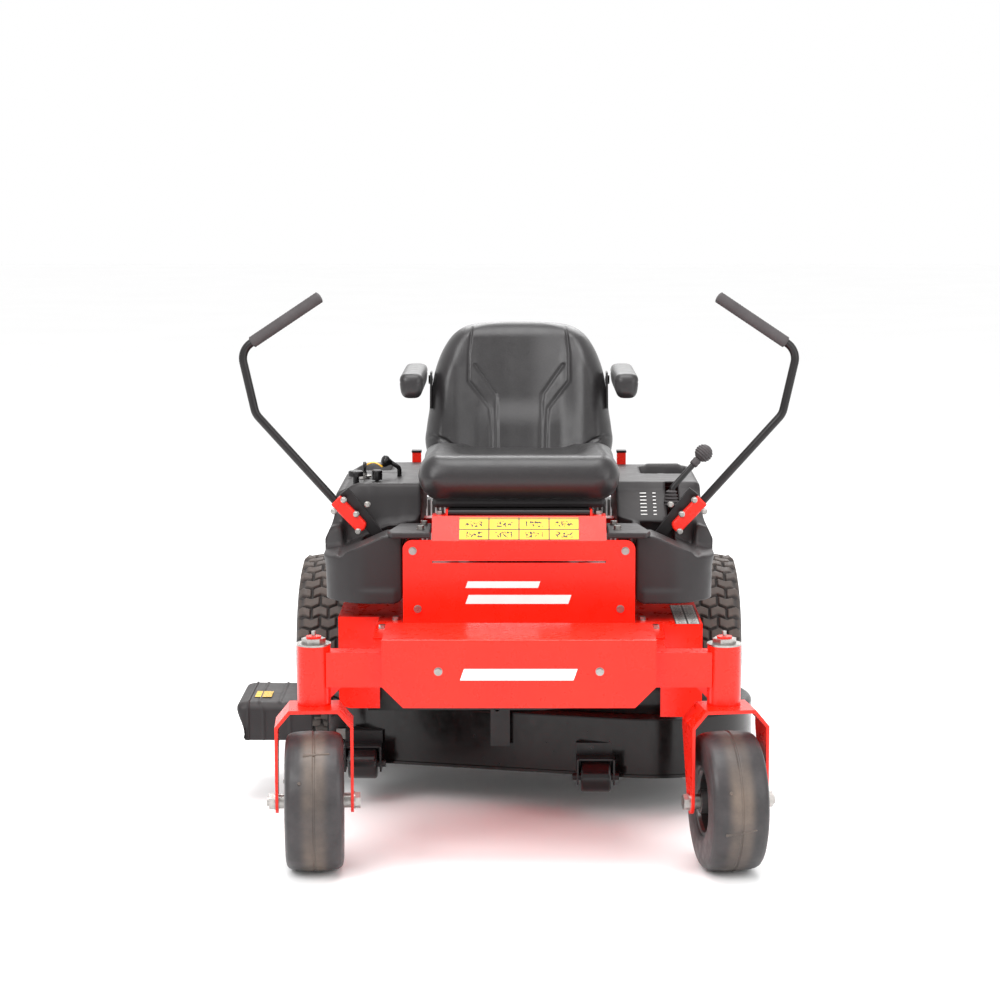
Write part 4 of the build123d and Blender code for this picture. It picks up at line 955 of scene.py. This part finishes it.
# ---- films and marks ----------------------------------------------------------------------------------
def film(name, corners, material, body, slot, lift=0.5):
    """A thin printed film laid on a flat panel: corners are three points, origin, right and up."""
    origin, right, up = (np.asarray(p, float) for p in corners)
    across, high = right - origin, up - origin
    away = unit(np.cross(across, high)) * lift
    u = np.linspace(0, 1, 2)[None, :, None]
    v = np.linspace(0, 1, 2)[:, None, None]
    points = origin + across * u + high * v + away
    uv = np.concatenate([u * np.linalg.norm(across) + 0 * v, v * np.linalg.norm(high) + 0 * u], -1)
    piece = surface(name, points, material, uv=uv, smooth=False)
    thickened(piece, 0.3, 0)
    return placed(piece, body, slot)


def slope_at(share):
    """A point up the tower's sloped cover, from its lower fold to its upper one."""
    return -427 + 38 * share, 615 + 48 * share


(ya, za), (yb, zb) = slope_at(0.04), slope_at(0.92)
film("caution_label", [(-127, ya, za), (127, ya, za), (-127, yb, zb)], caution_film, "chassis",
     "gloss_plastic", 0.7)
film("wing_label", [(331, -430, 438), (383, -430, 438), (331, -200, 438)], grey_film, "chassis",
     "gloss_plastic", 0.5)
film("chute_label", [(-588, -180, 227), (-550, -180, 227), (-588, -116, 227)], caution_film,
     "discharge_chute", "gloss_plastic", 1.2)
film("wing_stripe", [(318, -430, 438), (328, -430, 438), (318, -200, 438)], red_powder_coat, "chassis",
     "red_paint", 0.4)


def slanted(name, x, z, y):
    """A plain slanted white bar on a flat panel."""
    lean = (z[1] - z[0]) * 0.35
    outline = [(x[0], y, z[0]), (x[1], y, z[0]), (x[1] + lean, y, z[1]), (x[0] + lean, y, z[1])]
    return placed(slab(name, outline, (0, -1, 0), 0.5, white_film, 0), "chassis", "gloss_plastic")


slanted("front_bar", (-117, 108), (388, 411), -777)
slanted("tower_bar_upper", (-113, 40), (515, 529), -427)
slanted("tower_bar_lower", (-113, 104), (481, 500), -427)


def tick_marks():
    """White ticks beside the lift lever: one long column and one of small dashes, up the slope."""
    ticks = []
    for k in range(7):
        share = 0.12 + 0.72 * k / 6
        y, z = -196 + 88 * share, 630 + 54 * share
        for x0, x1 in ((268, 282), (296, 303)):
            outline = [(x0, y - 1.2, z + 1.0), (x1, y - 1.2, z + 1.0), (x1, y + 1.2, z + 2.4),
                       (x0, y + 1.2, z + 2.4)]
            ticks.append(slab("tick", outline, (0, -0.5, 0.86), 0.6, white_film, 0))
    placed(joined("lift_ticks", ticks), "chassis", "gloss_plastic")


tick_marks()


def gap_shade_plate():
    """A dark plate standing on the deck in front of the belts: painted shade that keeps light from passing
    through the gap there.
    """
    outline = [(-330, -292, 222), (330, -292, 222), (330, -292, 296), (-330, -292, 296)]
    # painted shade: a black sheet set where the gap should look dark
    placed(slab("gap_shade_plate", outline, (0, 1, 0), 4, deck_enamel, 1.2), "cutting_deck", "deck_paint")


gap_shade_plate()


def post_caps():
    """Dark caps on the two posts: square, with a low crowned top."""
    for hand, name in ((1, "left"), (-1, "right")):
        x0, x1 = sorted((hand * 229.5, hand * 253.5))
        outline = [(x0, 238.5, 726), (x1, 238.5, 726), (x1, 262.5, 726), (x0, 262.5, 726)]
        placed(slab("post_cap_" + name, outline, (0, 0, 1), 6, gloss_abs, 2.0), "chassis", "gloss_plastic")


post_caps()


# ---- camera, light and floor ------------------------------------------------------------------------
def studio():
    """The eye at standing height far in front, a white room and four broad lamps."""
    bpy.context.scene.view_settings.view_transform = "Standard"
    camera = bpy.data.objects.new("camera", bpy.data.cameras.new("camera"))
    camera.location = (0, -5.737, 1.404)
    camera.rotation_euler = (math.radians(82.47), 0, 0)
    camera.data.lens = 91.8
    camera.data.sensor_width = 36
    camera.data.shift_x = -0.019
    bpy.context.scene.collection.objects.link(camera)
    bpy.context.scene.camera = camera

    world = bpy.data.worlds.new("white_room")
    world.use_nodes = True
    sky = world.node_tree.nodes["Background"]
    sky.inputs["Color"].default_value = linear("#FFFFFF")
    sky.inputs["Strength"].default_value = 1.0
    bpy.context.scene.world = world
    lamps = (("key", (-2.2, -3.4, 3.6), 2.4, 110), ("fill", (3.0, -3.0, 2.2), 3.0, 60),
             ("back", (0.4, 3.2, 3.4), 3.0, 110), ("top", (0.0, -0.8, 4.2), 2.5, 110))
    for name, place, size, power in lamps:
        lamp = bpy.data.lights.new(name, "AREA")
        lamp.size = size
        lamp.energy = power
        light = bpy.data.objects.new(name, lamp)
        light.location = place
        aim = np.array([0, -0.1, 0.5]) - np.array(place)
        tilt = math.atan2(math.hypot(aim[0], aim[1]), -aim[2])
        light.rotation_euler = (tilt, 0, math.atan2(-aim[0], aim[1]))
        bpy.context.scene.collection.objects.link(light)

    ring = np.array([(-30, -30), (30, -30), (30, 30), (-30, 30)]) * 1000.0
    square = np.column_stack([ring, np.full(4, -1.0)]).reshape(2, 2, 3)
    square[1] = square[1][::-1]
    pale = finish("pale_floor", ("#FFFFFF", "#FDFDFD"), 900, (0.8, 0.9), (40, 0.1, 0.05))
    floor = surface("floor", square, pale, smooth=False)


studio()
